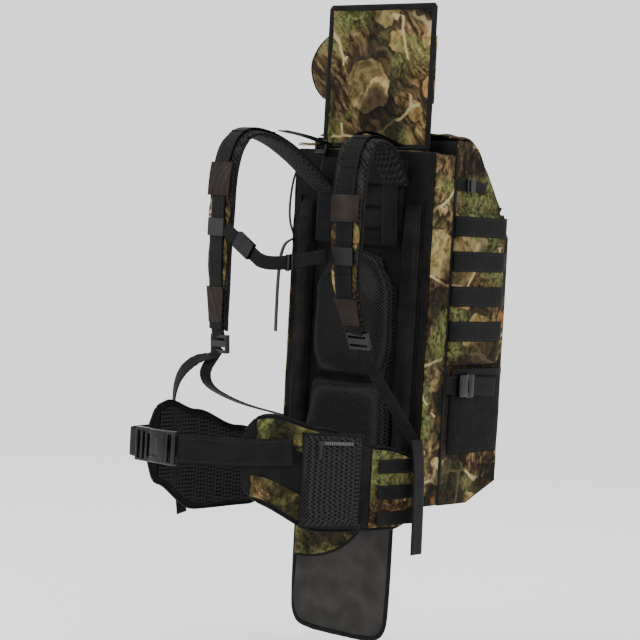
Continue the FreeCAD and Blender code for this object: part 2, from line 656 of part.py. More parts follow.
def make_hip_belt():
    left_wing = wing_line(-1, LEFT_WING)
    right_wing = wing_line(1, RIGHT_WING)
    shaped("hip_wing_left", wing(left_wing))
    shaped("hip_wing_right", wing(right_wing))
    make_hip_buckle()
    z, tall, deep = size("belt_z"), size("belt_tall"), size("web_deep")
    low, high = z - tall / 2, z + tall / 2
    off = size("wing_deep") / 2 + deep / 2 + 4 * size("seam_gap")
    male_end = size("buckle_right_x") - size("female_long") - size("mouth_gap") - size("male_long") - size("seam_gap")
    before, tip = left_wing[-2:]
    left = [midpoint(before, tip), tip, (tip[0] + 6, tip[1] - 46), (male_end, size("buckle_y"))]
    shaped("hip_web_left", plan_band(left, deep, low, high, -off).common(
        Part.makeBox(400, 800, tall, Vector(male_end - 400, -800, low))))
    before, tip = right_wing[-2:]
    right = [midpoint(before, tip), tip, (tip[0] - 44, tip[1] - 42),
             (size("buckle_right_x") + size("seam_gap"), size("buckle_y") + 1)]
    shaped("hip_web_right", plan_band(right, deep, low, high, off))
    first, second, third = right_wing[:3]
    face = size("wing_deep") / 2 + size("seam_gap")
    pocket = slanted_box(size("hip_pocket_long"), size("hip_pocket_deep"), size("hip_pocket_tall"),
                         third, second, size("hip_pocket_in"), -face - size("hip_pocket_deep"),
                         size("hip_pocket_low"))
    shaped("hip_pocket", pocket.makeFillet(size("soft_edge"), pocket.Edges))
    zip_z = size_of("hip_pocket_low + hip_pocket_tall - hip_zip_drop")
    zip_face = face + size("hip_pocket_deep")
    zip_start = size("hip_pocket_in") + (size("hip_pocket_long") - size("hip_zip_long")) / 2
    shaped("hip_zip", slanted_box(size("hip_zip_long"), size("zip_deep"), size("zip_tall"), third, second,
                                  zip_start, -zip_face - size("zip_deep"), zip_z))
    slide_face = zip_face + size("zip_deep") + size("seam_gap") + size("slider_deep")
    slide_z = zip_z + size("zip_tall") / 2 - size("slider_tall") / 2
    slider = slanted_box(size("slider_long"), size("slider_deep"), size("slider_tall"), third, second,
                         zip_start, -slide_face, slide_z)
    pull = slanted_box(size("pull_w"), size("slider_deep") / 2, size("pull_long"), third, second,
                       zip_start + 2, -slide_face + size("slider_deep") / 2, slide_z + 2 - size("pull_long"))
    shaped("hip_zip_slider", slider.fuse(pull).removeSplitter())
    rows = [
        slanted_box(size("hip_row_long"), size("web_deep"), size("hip_row_tall"), second, first,
                    size("hip_row_in"), -face - size("web_deep"),
                    size_of(f"hip_row_low + {i} * hip_row_pitch"))
        for i in range(int(size("hip_row_count")))
    ]
    shaped("hip_rows", Part.makeCompound(rows))


# ---------------------------------------------------------------- shoulder straps and chest strap

CHEST_KINK = (10, -276, 438)
CHEST_BUCKLE_SHARE = 0.5
# between a ladder lock and the slanting end of the webbing below it
LOWER_WEB_GAP = 11
RIGHT_PAD = [(4, 585), (76, 672), (150, 662), (150, 415), (130, 372), (106, 322)]
LEFT_PAD = [(4, 568), (140, 668), (258, 676), (258, 430), (254, 380), (249, 303)]


def strap(side, path, x, turn):
    """One shoulder strap: a padded band with webbing sewn along its outer face, both cut off at the yoke."""
    yoke = Part.makeBox(size("panel_w"), size("panel_deep") + size("yoke_deep") + size("seam_gap"),
                        size("panel_top"), Vector(-size("panel_w") / 2, -size("yoke_deep") - size("seam_gap"), 0))
    pad = outward_band(path, size("strap_deep"), size("strap_w"), x, turn)
    shaped(f"strap_pad_{side}", pad.cut(yoke))
    off = size("strap_deep") / 2 + size("web_gap") + size("web_deep") / 2
    web = outward_band(path, size("web_deep"), size("strap_web_w"), x, turn, off)
    shaped(f"strap_webbing_{side}", web.cut(yoke))


def at_strap(path, x, turn, index, beyond=0.0):
    """A place on a strap's centre plane: its point with that index, moved on along the last run."""
    out, z = path[index]
    angle = math.radians(turn)
    before = path[index - 1]
    run = Vector(out - before[0], z - before[1], 0).normalize()
    out, z = out + run.x * beyond, z + run.y * beyond
    return Vector(x - math.sin(angle) * out, -math.cos(angle) * out, z)


def make_straps():
    right = ("right", RIGHT_PAD, size("strap_right_x"), size("strap_right_turn"))
    left = ("left", LEFT_PAD, size("strap_left_x"), size("strap_left_turn"))
    locks = []
    edge = size("panel_w") / 2 + 2
    ends = {"right": [(126, -78, 236), (edge - 11, -42, 164), (edge, -4, 110)],
            "left": [(-148, -262, 215), (2 - edge, -140, 168), (-edge, -4, 139)]}
    for side, path, x, turn in (right, left):
        strap(side, path, x, turn)
        lock = ladder_lock(size("lock_long"), size("lock_w"), size("lock_deep"), size("lock_slot"))
        before, end = path[-2], path[-1]
        slope = math.degrees(math.atan2(end[1] - before[1], -(end[0] - before[0])))
        # lock's length along the strap, its width across it
        lock.rotate(Vector(0, 0, 0), Vector(0, 0, 1), 90)
        lock.rotate(Vector(0, 0, 0), Vector(1, 0, 0), slope)
        lock.rotate(Vector(0, 0, 0), Vector(0, 0, 1), -turn)
        centre = at_strap(path, x, turn, -1, size("lock_long") / 2 + 1)
        lock.translate(centre)
        locks.append(lock)
        tail = at_strap(path, x, turn, -1, size("lock_long") + LOWER_WEB_GAP)
        route = [tuple(tail)] + ends[side]
        shaped(f"lower_web_{side}", webbing(route, size("small_web"), size("web_deep"), (1, 0, 0)))
    shaped("strap_locks", Part.makeCompound(locks))


def make_chest_strap():
    """Two sliders that clip round the straps' webbing, and a strap with a small buckle between them."""
    plate, lip, clear = size("chest_plate"), size("chest_lip"), size("chest_clear")
    sliders = []
    ends = []
    for path, x, turn, z, inner in (
        (RIGHT_PAD, size("strap_right_x"), size("strap_right_turn"), size("chest_z"), -1),
        (LEFT_PAD, size("strap_left_x"), size("strap_left_turn"), size_of("chest_z + chest_rise"), 1),
    ):
        web_back = path[3][0] + size("strap_deep") / 2 + size("web_gap")
        web_front = web_back + size("web_deep")
        half, half_web = size("chest_w") / 2, size("strap_web_w") / 2
        profile = [(-half, web_front + clear + plate), (half, web_front + clear + plate),
                   (half, web_back - clear - lip), (half_web - size("chest_lip_w"), web_back - clear - lip),
                   (half_web - size("chest_lip_w"), web_back - clear), (half_web + clear, web_back - clear),
                   (half_web + clear, web_front + clear), (-half_web - clear, web_front + clear),
                   (-half_web - clear, web_back - clear), (-half_web + size("chest_lip_w"), web_back - clear),
                   (-half_web + size("chest_lip_w"), web_back - clear - lip), (-half, web_back - clear - lip)]
        corners = [Vector(a, -out, z - size("chest_tall") / 2) for a, out in profile]
        slider = Part.Face(Part.makePolygon(corners + corners[:1])).extrude(Vector(0, 0, size("chest_tall")))
        slider.rotate(Vector(0, 0, 0), Vector(0, 0, 1), -turn)
        slider.translate(Vector(x, 0, 0))
        sliders.append(slider)
        edge = Vector(inner * (half + 4 * size("web_deep")), -web_front - clear - plate, z)
        ends.append(Rotation(Vector(0, 0, 1), -turn).multVec(edge) + Vector(x, 0, 0))
    shaped("chest_sliders", Part.makeCompound(sliders))
    kink = Vector(*CHEST_KINK)
    run = (ends[1] - kink).normalize()
    centre = kink + (ends[1] - kink) * CHEST_BUCKLE_SHARE
    half = size("chest_buckle_long") / 2
    thick, wide = size("web_deep"), size("small_web")
    shaped("chest_webbing", Part.makeCompound([
        webbing([tuple(ends[0]), tuple(kink), tuple(centre - run * (half + thick))], wide, thick, (0, 0, 1)),
        webbing([tuple(centre + run * (half + thick)), tuple(ends[1])], wide, thick, (0, 0, 1)),
    ]))
    deep, tall, wall = size("chest_buckle_deep"), size("chest_buckle_tall"), size("buckle_wall") * 0.7
    mid = -half + size("chest_buckle_long") * 0.6
    female = Part.makeBox(mid + half, deep, tall, Vector(-half, -deep / 2, -tall / 2))
    cavity = Part.makeBox((mid + half) * 0.7, deep - 2 * wall, tall - 2 * wall,
                          Vector(mid - (mid + half) * 0.7, -deep / 2 + wall, -tall / 2 + wall))
    female = female.cut(cavity)
    male = Part.makeBox(half - mid - 0.5, deep, tall, Vector(mid + 0.5, -deep / 2, -tall / 2))
    tongue = (mid + half) * 0.6
    male = male.fuse(Part.makeBox(tongue + 1, deep - 2 * wall - 1, tall - 2 * wall - 2,
                                  Vector(mid + 0.5 - tongue, -(deep - 2 * wall - 1) / 2, -(tall - 2 * wall - 2) / 2)))
    up = Vector(0, 0, 1)
    side = up.cross(run).normalize()
    rise = run.cross(side)
    for label, piece in (("chest_buckle_female", female), ("chest_buckle_male", male.removeSplitter())):
        shaped(label, turned(piece, *zip(run, side, rise, centre)))


# ---------------------------------------------------------------- loose webbing

# where the loose end of each strap's webbing lies: out from the panel's side edge, then y and z
TAIL_LEFT = [(61, -248, 205), (64, -234, 100), (62, -205, -46)]
TAIL_RIGHT = [(22, -34, 128), (30, -36, 20), (37, -40, -76)]
# from each strap to the panel's top edge, with heights above that edge
LIFTERS = {"right": [(91, -104, 31), (88, -50, 21), (86, -3, 9)],
           "left": [(-94, -128, 27), (-92, -60, 21), (-90, -3, 9)]}


def make_loose_webbing():
    edge = size("panel_w") / 2
    left = [(-edge - out, y, z) for out, y, z in TAIL_LEFT]
    right = [(edge + out, y, z) for out, y, z in TAIL_RIGHT]
    shaped("strap_tail_left", webbing(left, size("small_web"), size("web_deep"), (0, -1, 0)))
    shaped("strap_tail_right", webbing(right, size("strap_web_w"), size("web_deep"), (0, -1, 0)))
    pieces = []
    for route in LIFTERS.values():
        raised = [(x, y, z + size("panel_top")) for x, y, z in route]
        pieces.append(webbing(raised, size("small_web"), size("web_deep"), (1, 0, 0)))
    shaped("load_lifters", Part.makeCompound(pieces))


# ---------------------------------------------------------------- build, check and write

make_back_panel()
make_stiffening()
make_pads()
make_gussets()
make_bag()
make_front_pocket()
make_sides()
make_haul_loop()
make_lid()
make_hood()
make_stock_flap()
make_hip_belt()
make_straps()
make_chest_strap()
make_loose_webbing()
doc.recompute()

for thing in doc.Objects:
    if any(word in thing.State for word in ("Invalid", "Error")):
        raise RuntimeError(f"{thing.Label} did not build: {thing.State}")
for made in NODES:
    shape = made.Shape
    if shape.isNull() or not shape.isValid() or not shape.Solids:
        raise RuntimeError(f"{made.Label} has no valid solid")

os.makedirs("parts", exist_ok=True)
for made in NODES:
    made.Shape.exportStep(f"parts/{made.Label}.step")
    print(f"{made.Label}: {len(made.Shape.Solids)} solids, {made.Shape.Volume / 1000:.1f} cm3")
print(len(NODES), "sub-parts")
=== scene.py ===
"""Hunting backpack: woodland-print cloth, black pack cloth, mesh pads, webbing and acetal buckles."""

import math

import bmesh
import bpy
from mathutils import Matrix, Vector, noise


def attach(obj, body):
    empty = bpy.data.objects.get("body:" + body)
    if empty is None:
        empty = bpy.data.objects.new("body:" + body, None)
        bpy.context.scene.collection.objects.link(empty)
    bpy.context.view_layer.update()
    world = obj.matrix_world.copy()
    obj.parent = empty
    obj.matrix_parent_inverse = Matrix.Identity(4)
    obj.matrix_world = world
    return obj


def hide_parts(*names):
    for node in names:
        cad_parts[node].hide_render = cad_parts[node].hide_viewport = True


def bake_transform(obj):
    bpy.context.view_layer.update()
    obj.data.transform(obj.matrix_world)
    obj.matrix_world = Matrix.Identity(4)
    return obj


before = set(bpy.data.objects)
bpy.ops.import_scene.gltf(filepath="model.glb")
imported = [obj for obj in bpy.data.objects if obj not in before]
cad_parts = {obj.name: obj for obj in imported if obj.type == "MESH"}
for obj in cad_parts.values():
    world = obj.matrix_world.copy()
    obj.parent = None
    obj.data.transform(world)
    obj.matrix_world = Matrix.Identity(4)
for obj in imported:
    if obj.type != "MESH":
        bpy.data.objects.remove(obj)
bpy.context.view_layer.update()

# The pack is described in millimetres from the bag's base and the back panel's face. The frame's origin is
# the hook in the haul loop, which is this far from there.
HOOK = Vector((0, 3, 672))
UP = Vector((0, 0, 1))
ACROSS = Vector((1, 0, 0))
# from the wearer's back towards the bag
BEHIND = Vector((0, 1, 0))


def mm(x, y, z):
    """A place given in millimetres from the base and the panel's face, in the frame's metres."""
    return (Vector((x, y, z)) - HOOK) / 1000


# ---------------------------------------------------------------- camera and studio


def build_camera():
    """A long lens a little above the pack's middle, rolled as far as the pack leans."""
    azimuth, elevation, roll = (math.radians(a) for a in (41, 3, 3.1))
    distance, lens, aside = 4.0, 119.5, 0.0667
    back = Vector((math.sin(azimuth) * math.cos(elevation), -math.cos(azimuth) * math.cos(elevation),
                   math.sin(elevation)))
    right = Vector((math.cos(azimuth), math.sin(azimuth), 0))
    up = back.cross(right)
    across = math.cos(roll) * right + math.sin(roll) * up
    upward = -math.sin(roll) * right + math.cos(roll) * up
    target = mm(0, 0, 332) - aside * right
    camera = bpy.data.objects.new("camera", bpy.data.cameras.new("camera"))
    camera.data.lens = lens
    camera.data.sensor_width = 36
    camera.matrix_world = Matrix((across, upward, back)).transposed().to_4x4()
    camera.location = target + distance * back
    bpy.context.scene.collection.objects.link(camera)
    bpy.context.scene.camera = camera


def build_studio():
    """A pale floor well below the hanging pack, white air round it, and three large soft lamps."""
    floor_height = -330
    made = bmesh.new()
    bmesh.ops.create_circle(made, cap_ends=True, segments=96, radius=9)
    bmesh.ops.translate(made, verts=made.verts, vec=mm(0, 0, floor_height))
    mesh = bpy.data.meshes.new("floor")
    made.to_mesh(mesh)
    made.free()
    floor = bpy.data.objects.new("floor", mesh)
    bpy.context.scene.collection.objects.link(floor)
    paper = bpy.data.materials.new("paper")
    paper.use_nodes = True
    shader = paper.node_tree.nodes["Principled BSDF"]
    shader.inputs["Base Color"].default_value = linear("#fbfbfb")
    shader.inputs["Roughness"].default_value = 0.9
    mesh.materials.append(paper)
    world = bpy.data.worlds.new("white_air")
    world.use_nodes = True
    air = world.node_tree.nodes["Background"]
    air.inputs["Color"].default_value = (1, 1, 1, 1)
    air.inputs["Strength"].default_value = 1.5
    bpy.context.scene.world = world
    for name, where, wide, watts in (
            ("key", (-0.6, -2.4, 1.5), 1.6, 45),
            ("fill", (2.6, -0.9, 0.5), 1.8, 34),
            ("top", (0.3, 0.6, 2.4), 1.4, 30)):
        lamp = bpy.data.objects.new(name, bpy.data.lights.new(name, "AREA"))
        lamp.data.size = wide
        lamp.data.energy = watts
        lamp.location = where
        lamp.rotation_euler = (Vector((0, 0, -0.3)) - Vector(where)).to_track_quat("-Z", "Y").to_euler()
        bpy.context.scene.collection.objects.link(lamp)


# ---------------------------------------------------------------- finishes


def linear(code):
    """An sRGB hex colour as the linear values that a shader takes."""
    channels = [int(code[i:i + 2], 16) / 255 for i in (1, 3, 5)]
    return [c / 12.92 if c <= 0.04045 else ((c + 0.055) / 1.055) ** 2.4 for c in channels] + [1]


def add(tree, kind, sockets=None, stops=None, **settings):
    """Adds a node with its settings, its colour stops, and its sockets' values or links."""
    made = tree.nodes.new(kind)
    for name, value in settings.items():
        setattr(made, name, value)
    for name, value in (sockets or {}).items():
        if isinstance(value, bpy.types.NodeSocket):
            tree.links.new(value, made.inputs[name])
        else:
            made.inputs[name].default_value = value
    if stops:
        ramp = made.color_ramp
        while len(ramp.elements) < len(stops):
            ramp.elements.new(0.5)
        for element, (position, colour) in zip(ramp.elements, stops):
            element.position = position
            element.color = linear(colour)
    return made


def new_finish(name, **sockets):
    """A new material: its node tree, its shader and its place on the pack."""
    made = bpy.data.materials.new(name)
    made.use_nodes = True
    tree = made.node_tree
    shader = tree.nodes["Principled BSDF"]
    for socket, value in sockets.items():
        shader.inputs[socket.replace("_", " ")].default_value = value
    place = add(tree, "ShaderNodeTexCoord")
    return made, tree, shader, place


def wire(tree, shader, colour, bump):
    """Feeds a finish's colour and its surface into its shader."""
    tree.links.new(colour, shader.inputs["Base Color"])
    tree.links.new(bump.outputs[0], shader.inputs["Normal"])


def threads(tree, place, pitch):
    """Ridges along three axes, pitch millimetres apart, so that every side of a piece shows its weave."""
    # a wave's bands are 2 pi / 20 of a metre apart at a scale of 1
    scale = 2 * math.pi / 20 / (pitch / 1000)
    total = None
    for axis in "XYZ":
        ridge = add(tree, "ShaderNodeTexWave", {"Vector": place, "Scale": scale, "Distortion": 0.4},
                    bands_direction=axis).outputs["Fac"]
        total = ridge if total is None else add(tree, "ShaderNodeMath", {0: total, 1: ridge}).outputs[0]
    return add(tree, "ShaderNodeMath", {0: total, 1: 1 / 3}, operation="MULTIPLY").outputs[0]


def printed_cloth():
    """Brushed polyester printed with bark, dead leaves, moss and twigs: dull, with no sheen of its own."""
    made, tree, shader, place = new_finish("printed_polyester", Roughness=0.9, Specular_IOR_Level=0.15)
    place = place.outputs["Object"]
    lean = add(tree, "ShaderNodeMapping", {"Vector": place, "Rotation": (0.35, 0.75, 0.35)}).outputs[0]
    drift = add(tree, "ShaderNodeTexNoise", {"Vector": lean, "Scale": 9, "Detail": 3}).outputs["Color"]
    warped = add(tree, "ShaderNodeVectorMath", {0: drift, 1: (0.06, 0.06, 0.06), 2: lean},
                 operation="MULTIPLY_ADD").outputs[0]
    grain = add(tree, "ShaderNodeMapping", {"Vector": warped, "Scale": (1, 1, 0.13)}).outputs[0]
    # bark: streaks about 10 mm apart, split finer
    bark = add(tree, "ShaderNodeTexNoise", {"Vector": grain, "Scale": 85, "Detail": 9, "Roughness": 0.72})
    ground = add(tree, "ShaderNodeValToRGB", {"Fac": bark.outputs["Fac"]}, stops=[
        (0.36, "#130f09"), (0.44, "#382d1c"), (0.5, "#5e5138"), (0.56, "#857556"),
        (0.66, "#b9a985")]).outputs[0]
    # broad patches of lighter and darker wood
    patches = add(tree, "ShaderNodeTexNoise", {"Vector": warped, "Scale": 9, "Detail": 4}).outputs["Fac"]
    tint = add(tree, "ShaderNodeValToRGB", {"Fac": patches}, stops=[
        (0.38, "#55452f"), (0.5, "#a4957a"), (0.6, "#e0d3ba")]).outputs[0]
    ground = add(tree, "ShaderNodeMix", {0: 0.9, 6: ground, 7: tint}, data_type="RGBA",
                 blend_type="MULTIPLY").outputs[2]
    # two sizes of dead leaf, about 75 and 35 mm long, ragged, with a shadow beside them and faint ribs
    for scale, rag_size, share, colours in (
            (17, 0.020, 0.34, ("#7a6441", "#503d26", "#968258", "#714d2b")),
            (8.5, 0.036, 0.42, ("#8f7f5a", "#54482d", "#a59771", "#74643f"))):
        rag = add(tree, "ShaderNodeTexNoise", {"Vector": lean, "Scale": 3.2 * scale, "Detail": 2})
        rag = rag.outputs["Color"]
        torn = add(tree, "ShaderNodeVectorMath", {0: rag, 1: (rag_size,) * 3, 2: lean},
                   operation="MULTIPLY_ADD").outputs[0]
        cells = add(tree, "ShaderNodeTexVoronoi", {"Vector": torn, "Scale": scale})
        which = add(tree, "ShaderNodeSeparateColor", {"Color": cells.outputs["Color"]})
        chosen = add(tree, "ShaderNodeMath", {0: which.outputs[0], 1: 1 - share},
                     operation="GREATER_THAN").outputs[0]
        rim = add(tree, "ShaderNodeValToRGB", {"Fac": cells.outputs["Distance"]}, stops=[
            (0.40, "#ffffff"), (0.56, "#000000")]).outputs[0]
        leaf = add(tree, "ShaderNodeValToRGB", {"Fac": cells.outputs["Distance"]}, stops=[
            (0.40, "#ffffff"), (0.42, "#000000")]).outputs[0]
        rib = add(tree, "ShaderNodeTexNoise", {"Vector": torn, "Scale": 75, "Detail": 4}).outputs["Fac"]
        veins = add(tree, "ShaderNodeValToRGB", {"Fac": rib}, stops=[
            (0.36, "#9b8c70"), (0.48, "#ddd3bd"), (0.6, "#ffffff")]).outputs[0]
        face = add(tree, "ShaderNodeValToRGB", {"Fac": which.outputs[1]}, stops=[
            (0.1 + 0.26 * i, colour) for i, colour in enumerate(colours)]).outputs[0]
        face = add(tree, "ShaderNodeMix", {0: 0.9, 6: face, 7: veins}, data_type="RGBA",
                   blend_type="MULTIPLY").outputs[2]
        shade = add(tree, "ShaderNodeMath", {0: rim, 1: chosen}, operation="MULTIPLY").outputs[0]
        cover = add(tree, "ShaderNodeMath", {0: leaf, 1: chosen}, operation="MULTIPLY").outputs[0]
        ground = add(tree, "ShaderNodeMix", {0: shade, 6: ground, 7: linear("#20180f")},
                     data_type="RGBA").outputs[2]
        ground = add(tree, "ShaderNodeMix", {0: cover, 6: ground, 7: face}, data_type="RGBA").outputs[2]
    # moss and needles in clumps
    clump = add(tree, "ShaderNodeTexNoise", {"Vector": warped, "Scale": 10, "Detail": 3, "W": 3.0},
                noise_dimensions="4D").outputs["Fac"]
    needles = add(tree, "ShaderNodeTexNoise", {"Vector": warped, "Scale": 120, "Detail": 5, "Roughness": 0.7})
    needles = needles.outputs["Fac"]
    clump = add(tree, "ShaderNodeValToRGB", {"Fac": clump}, stops=[
        (0.48, "#000000"), (0.58, "#e8e8e8")]).outputs[0]
    sprigs = add(tree, "ShaderNodeValToRGB", {"Fac": needles}, stops=[
        (0.38, "#000000"), (0.52, "#ffffff")]).outputs[0]
    moss = add(tree, "ShaderNodeMath", {0: clump, 1: sprigs}, operation="MULTIPLY").outputs[0]
    green = add(tree, "ShaderNodeValToRGB", {"Fac": needles}, stops=[
        (0.42, "#272d13"), (0.6, "#5d6538")]).outputs[0]
    ground = add(tree, "ShaderNodeMix", {0: moss, 6: ground, 7: green}, data_type="RGBA").outputs[2]
    # a few thin twigs
    twig = add(tree, "ShaderNodeTexVoronoi", {"Vector": warped, "Scale": 5.5}, feature="DISTANCE_TO_EDGE")
    twig = add(tree, "ShaderNodeValToRGB", {"Fac": twig.outputs["Distance"]}, stops=[
        (0.008, "#ffffff"), (0.02, "#000000")]).outputs[0]
    there = add(tree, "ShaderNodeMath", {0: patches, 1: 0.48}, operation="GREATER_THAN").outputs[0]
    twig = add(tree, "ShaderNodeMath", {0: twig, 1: there}, operation="MULTIPLY").outputs[0]
    ground = add(tree, "ShaderNodeMix", {0: twig, 6: ground, 7: linear("#8d7f5c")},
                 data_type="RGBA").outputs[2]
    # deep shade
    deep = add(tree, "ShaderNodeTexNoise", {"Vector": lean, "Scale": 9, "Detail": 6, "W": 7.0},
               noise_dimensions="4D").outputs["Fac"]
    deep = add(tree, "ShaderNodeValToRGB", {"Fac": deep}, stops=[
        (0.41, "#2f2519"), (0.49, "#ffffff")]).outputs[0]
    ground = add(tree, "ShaderNodeMix", {0: 0.85, 6: ground, 7: deep}, data_type="RGBA",
                 blend_type="MULTIPLY").outputs[2]
    # threads drawn 3 mm apart, coarser than the real 0.4 mm, so that they show
    weave = threads(tree, place, 3.0)
    wire(tree, shader, ground, add(tree, "ShaderNodeBump", {"Height": weave, "Distance": 0.00025}))
    return made


def black_cloth(name, colour, lighter, pitch, deep, roughness):
    """Woven or knitted polyester, faded along its folds, its threads drawn coarse enough to show."""
    made, tree, shader, place = new_finish(name, Roughness=roughness, Specular_IOR_Level=0.08)
    place = place.outputs["Object"]
    fade = add(tree, "ShaderNodeTexNoise", {"Vector": place, "Scale": 22, "Detail": 6, "Roughness": 0.6})
    fade = fade.outputs["Fac"]
    tone = add(tree, "ShaderNodeValToRGB", {"Fac": fade}, stops=[(0.35, colour), (0.7, lighter)]).outputs[0]
    weave = threads(tree, place, pitch)
    tone = add(tree, "ShaderNodeMix", {0: 0.5, 6: tone, 7: weave}, data_type="RGBA",
               blend_type="SOFT_LIGHT").outputs[2]
    slack = add(tree, "ShaderNodeMath", {0: fade, 1: 6.0, 2: weave}, operation="MULTIPLY_ADD").outputs[0]
    wire(tree, shader, tone, add(tree, "ShaderNodeBump", {"Height": slack, "Distance": deep / 1000}))
    return made


def spacer_mesh(name, pitch, deep):
    """Knitted polyester spacer mesh: holes in a lighter net, in staggered rows, the holes darkened with
    painted shade.
    """
    made, tree, shader, place = new_finish(name, Roughness=0.8, Specular_IOR_Level=0.08)
    turned = add(tree, "ShaderNodeMapping", {
        "Vector": place.outputs["Object"], "Rotation": (0, math.radians(45), 0),
        "Scale": (1, 0.7, 1)}).outputs[0]
    cells = add(tree, "ShaderNodeTexVoronoi", {
        "Vector": turned, "Scale": 1000 / pitch, "Randomness": 0.12}).outputs["Distance"]
    # painted shade: the holes are drawn near black and the net between them lighter
    net_with_painted_hole_shade = add(tree, "ShaderNodeValToRGB", {"Fac": cells}, stops=[
        (0.22, "#020202"), (0.42, "#151414"), (0.6, "#242322")]).outputs[0]
    wire(tree, shader, net_with_painted_hole_shade, add(tree, "ShaderNodeBump", {"Height": cells, "Distance": deep / 1000}))
    return made


def webbing(name, colour, lighter, ribs):
    """Woven nylon webbing or grosgrain: ribs along it, fine bars across, and stitches by each edge."""
    made, tree, shader, place = new_finish(name, Roughness=0.6, Specular_IOR_Level=0.09)
    parts = add(tree, "ShaderNodeSeparateXYZ", {"Vector": place.outputs["UV"]})
    rib = add(tree, "ShaderNodeMath", {0: parts.outputs[0], 1: ribs * 2 * math.pi}, operation="MULTIPLY")
    rib = add(tree, "ShaderNodeMath", {0: rib.outputs[0]}, operation="SINE").outputs[0]
    bar = add(tree, "ShaderNodeMath", {0: parts.outputs[1], 1: 2 * math.pi / 0.004}, operation="MULTIPLY")
    bar = add(tree, "ShaderNodeMath", {0: bar.outputs[0]}, operation="SINE").outputs[0]
    height = add(tree, "ShaderNodeMath", {0: bar, 1: 0.5, 2: rib}, operation="MULTIPLY_ADD").outputs[0]
    worn = add(tree, "ShaderNodeTexNoise", {"Vector": place.outputs["Object"], "Scale": 35, "Detail": 4})
    tone = add(tree, "ShaderNodeValToRGB", {"Fac": worn.outputs["Fac"]}, stops=[
        (0.35, colour), (0.7, lighter)]).outputs[0]
    # stitches 3 mm long by both edges, drawn a little bolder than the thread
    side = add(tree, "ShaderNodeMath", {0: parts.outputs[0], 1: 0.5}, operation="SUBTRACT").outputs[0]
    side = add(tree, "ShaderNodeMath", {0: side}, operation="ABSOLUTE").outputs[0]
    row = add(tree, "ShaderNodeMath", {0: side, 1: 0.4, 2: 0.018}, operation="COMPARE").outputs[0]
    stitch = add(tree, "ShaderNodeMath", {0: bar, 1: 0.0}, operation="GREATER_THAN").outputs[0]
    stitch = add(tree, "ShaderNodeMath", {0: row, 1: stitch}, operation="MULTIPLY").outputs[0]
    tone = add(tree, "ShaderNodeMix", {0: stitch, 6: tone, 7: linear("#1c1b1a")}, data_type="RGBA").outputs[2]
    wire(tree, shader, tone, add(tree, "ShaderNodeBump", {
        "Height": height, "Distance": 0.00035, "Strength": 0.6}))
    return made


def moulded(name, colour, lighter, roughness, **sockets):
    """A moulded or extruded surface, its fine grain drawn some 4 mm apart so that it breaks up the gloss."""
    made, tree, shader, place = new_finish(name, Roughness=roughness, **sockets)
    fine = add(tree, "ShaderNodeTexNoise", {"Vector": place.outputs["Object"], "Scale": 220, "Detail": 4})
    tone = add(tree, "ShaderNodeValToRGB", {"Fac": fine.outputs["Fac"]}, stops=[
        (0.3, colour), (0.9, lighter)]).outputs[0]
    wire(tree, shader, tone, add(tree, "ShaderNodeBump", {
        "Height": fine.outputs["Fac"], "Distance": 0.00008, "Strength": 0.5}))
    return made


def zip_coil():
    """Nylon coil zip: small teeth in a row on a knitted tape, with a painted highlight on each crest and
    painted shade between.
    """
    made, tree, shader, place = new_finish("nylon_coil", Roughness=0.5)
    teeth = add(tree, "ShaderNodeTexWave", {"Vector": place.outputs["Object"], "Scale": 130.0},
                bands_direction="X").outputs["Fac"]
    # painted highlight and shade: the colour follows each tooth's height, lighter on its crest and darker
    # between teeth
    tone = add(tree, "ShaderNodeValToRGB", {"Fac": teeth}, stops=[
        (0.3, "#0d0d0d"), (0.8, "#3c3b3a")]).outputs[0]
    wire(tree, shader, tone, add(tree, "ShaderNodeBump", {"Height": teeth, "Distance": 0.0006}))
    return made


# woodland print on brushed polyester: a dull, broken mix of bark, leaf and moss
CAMO = printed_cloth()
# woven polyester pack cloth: near black, matt, a little faded on its folds
BLACK = black_cloth("pack_cloth", "#0d0c0c", "#191817", 3.2, 0.5, 0.8)
# coated polyester: a dark grey film that takes a soft, even light
COATED = black_cloth("coated_cloth", "#252423", "#302f2d", 2.4, 0.3, 0.55)
# microfibre, rubbed by wear: brownish, with no shine
PATCH = black_cloth("rubbed_microfibre", "#1f1a17", "#2b2521", 2.6, 0.3, 0.75)
# warp-knitted elastane: deep black and smoother than the pack cloth
STRETCH = black_cloth("stretch_knit", "#080808", "#121111", 2.2, 0.3, 0.7)
# knitted polyester spacer: an open net whose holes carry painted shade, in a fine and a coarse gauge
MESH = spacer_mesh("spacer_mesh", 5.2, 1.2)
COARSE = spacer_mesh("coarse_spacer_mesh", 7.0, 1.6)
# woven nylon webbing: nine ribs along it, black, catching a little light at its edges
WEB = webbing("nylon_webbing", "#070707", "#100f0f", 9)
# woven grosgrain tape: the same yarn, with four ribs
TAPE = webbing("binding_tape", "#080808", "#121111", 4)
# injection-moulded acetal: satin black, brighter along its rounded edges
ACETAL = moulded("acetal", "#040404", "#080808", 0.24, Specular_IOR_Level=0.3, IOR=1.48)
# extruded high-density polyethylene sheet: waxy and dark, hidden in its sleeve
HDPE = moulded("hdpe_sheet", "#1a1a1a", "#080808", 0.45, IOR=1.54)
# mill-finish aluminium bar: dull grey metal, hidden in its sleeve
STAY = moulded("extruded_aluminium", "#a9abad", "#d8d8d6", 0.35, Metallic=1.0)
# coiled nylon: small shiny teeth in a row, their shine painted as a lighter crest on each
COIL = zip_coil()

# ---------------------------------------------------------------- making pieces


def mix(a, b, share):
    """The value at a share of the way from a to b."""
    return a + (b - a) * share


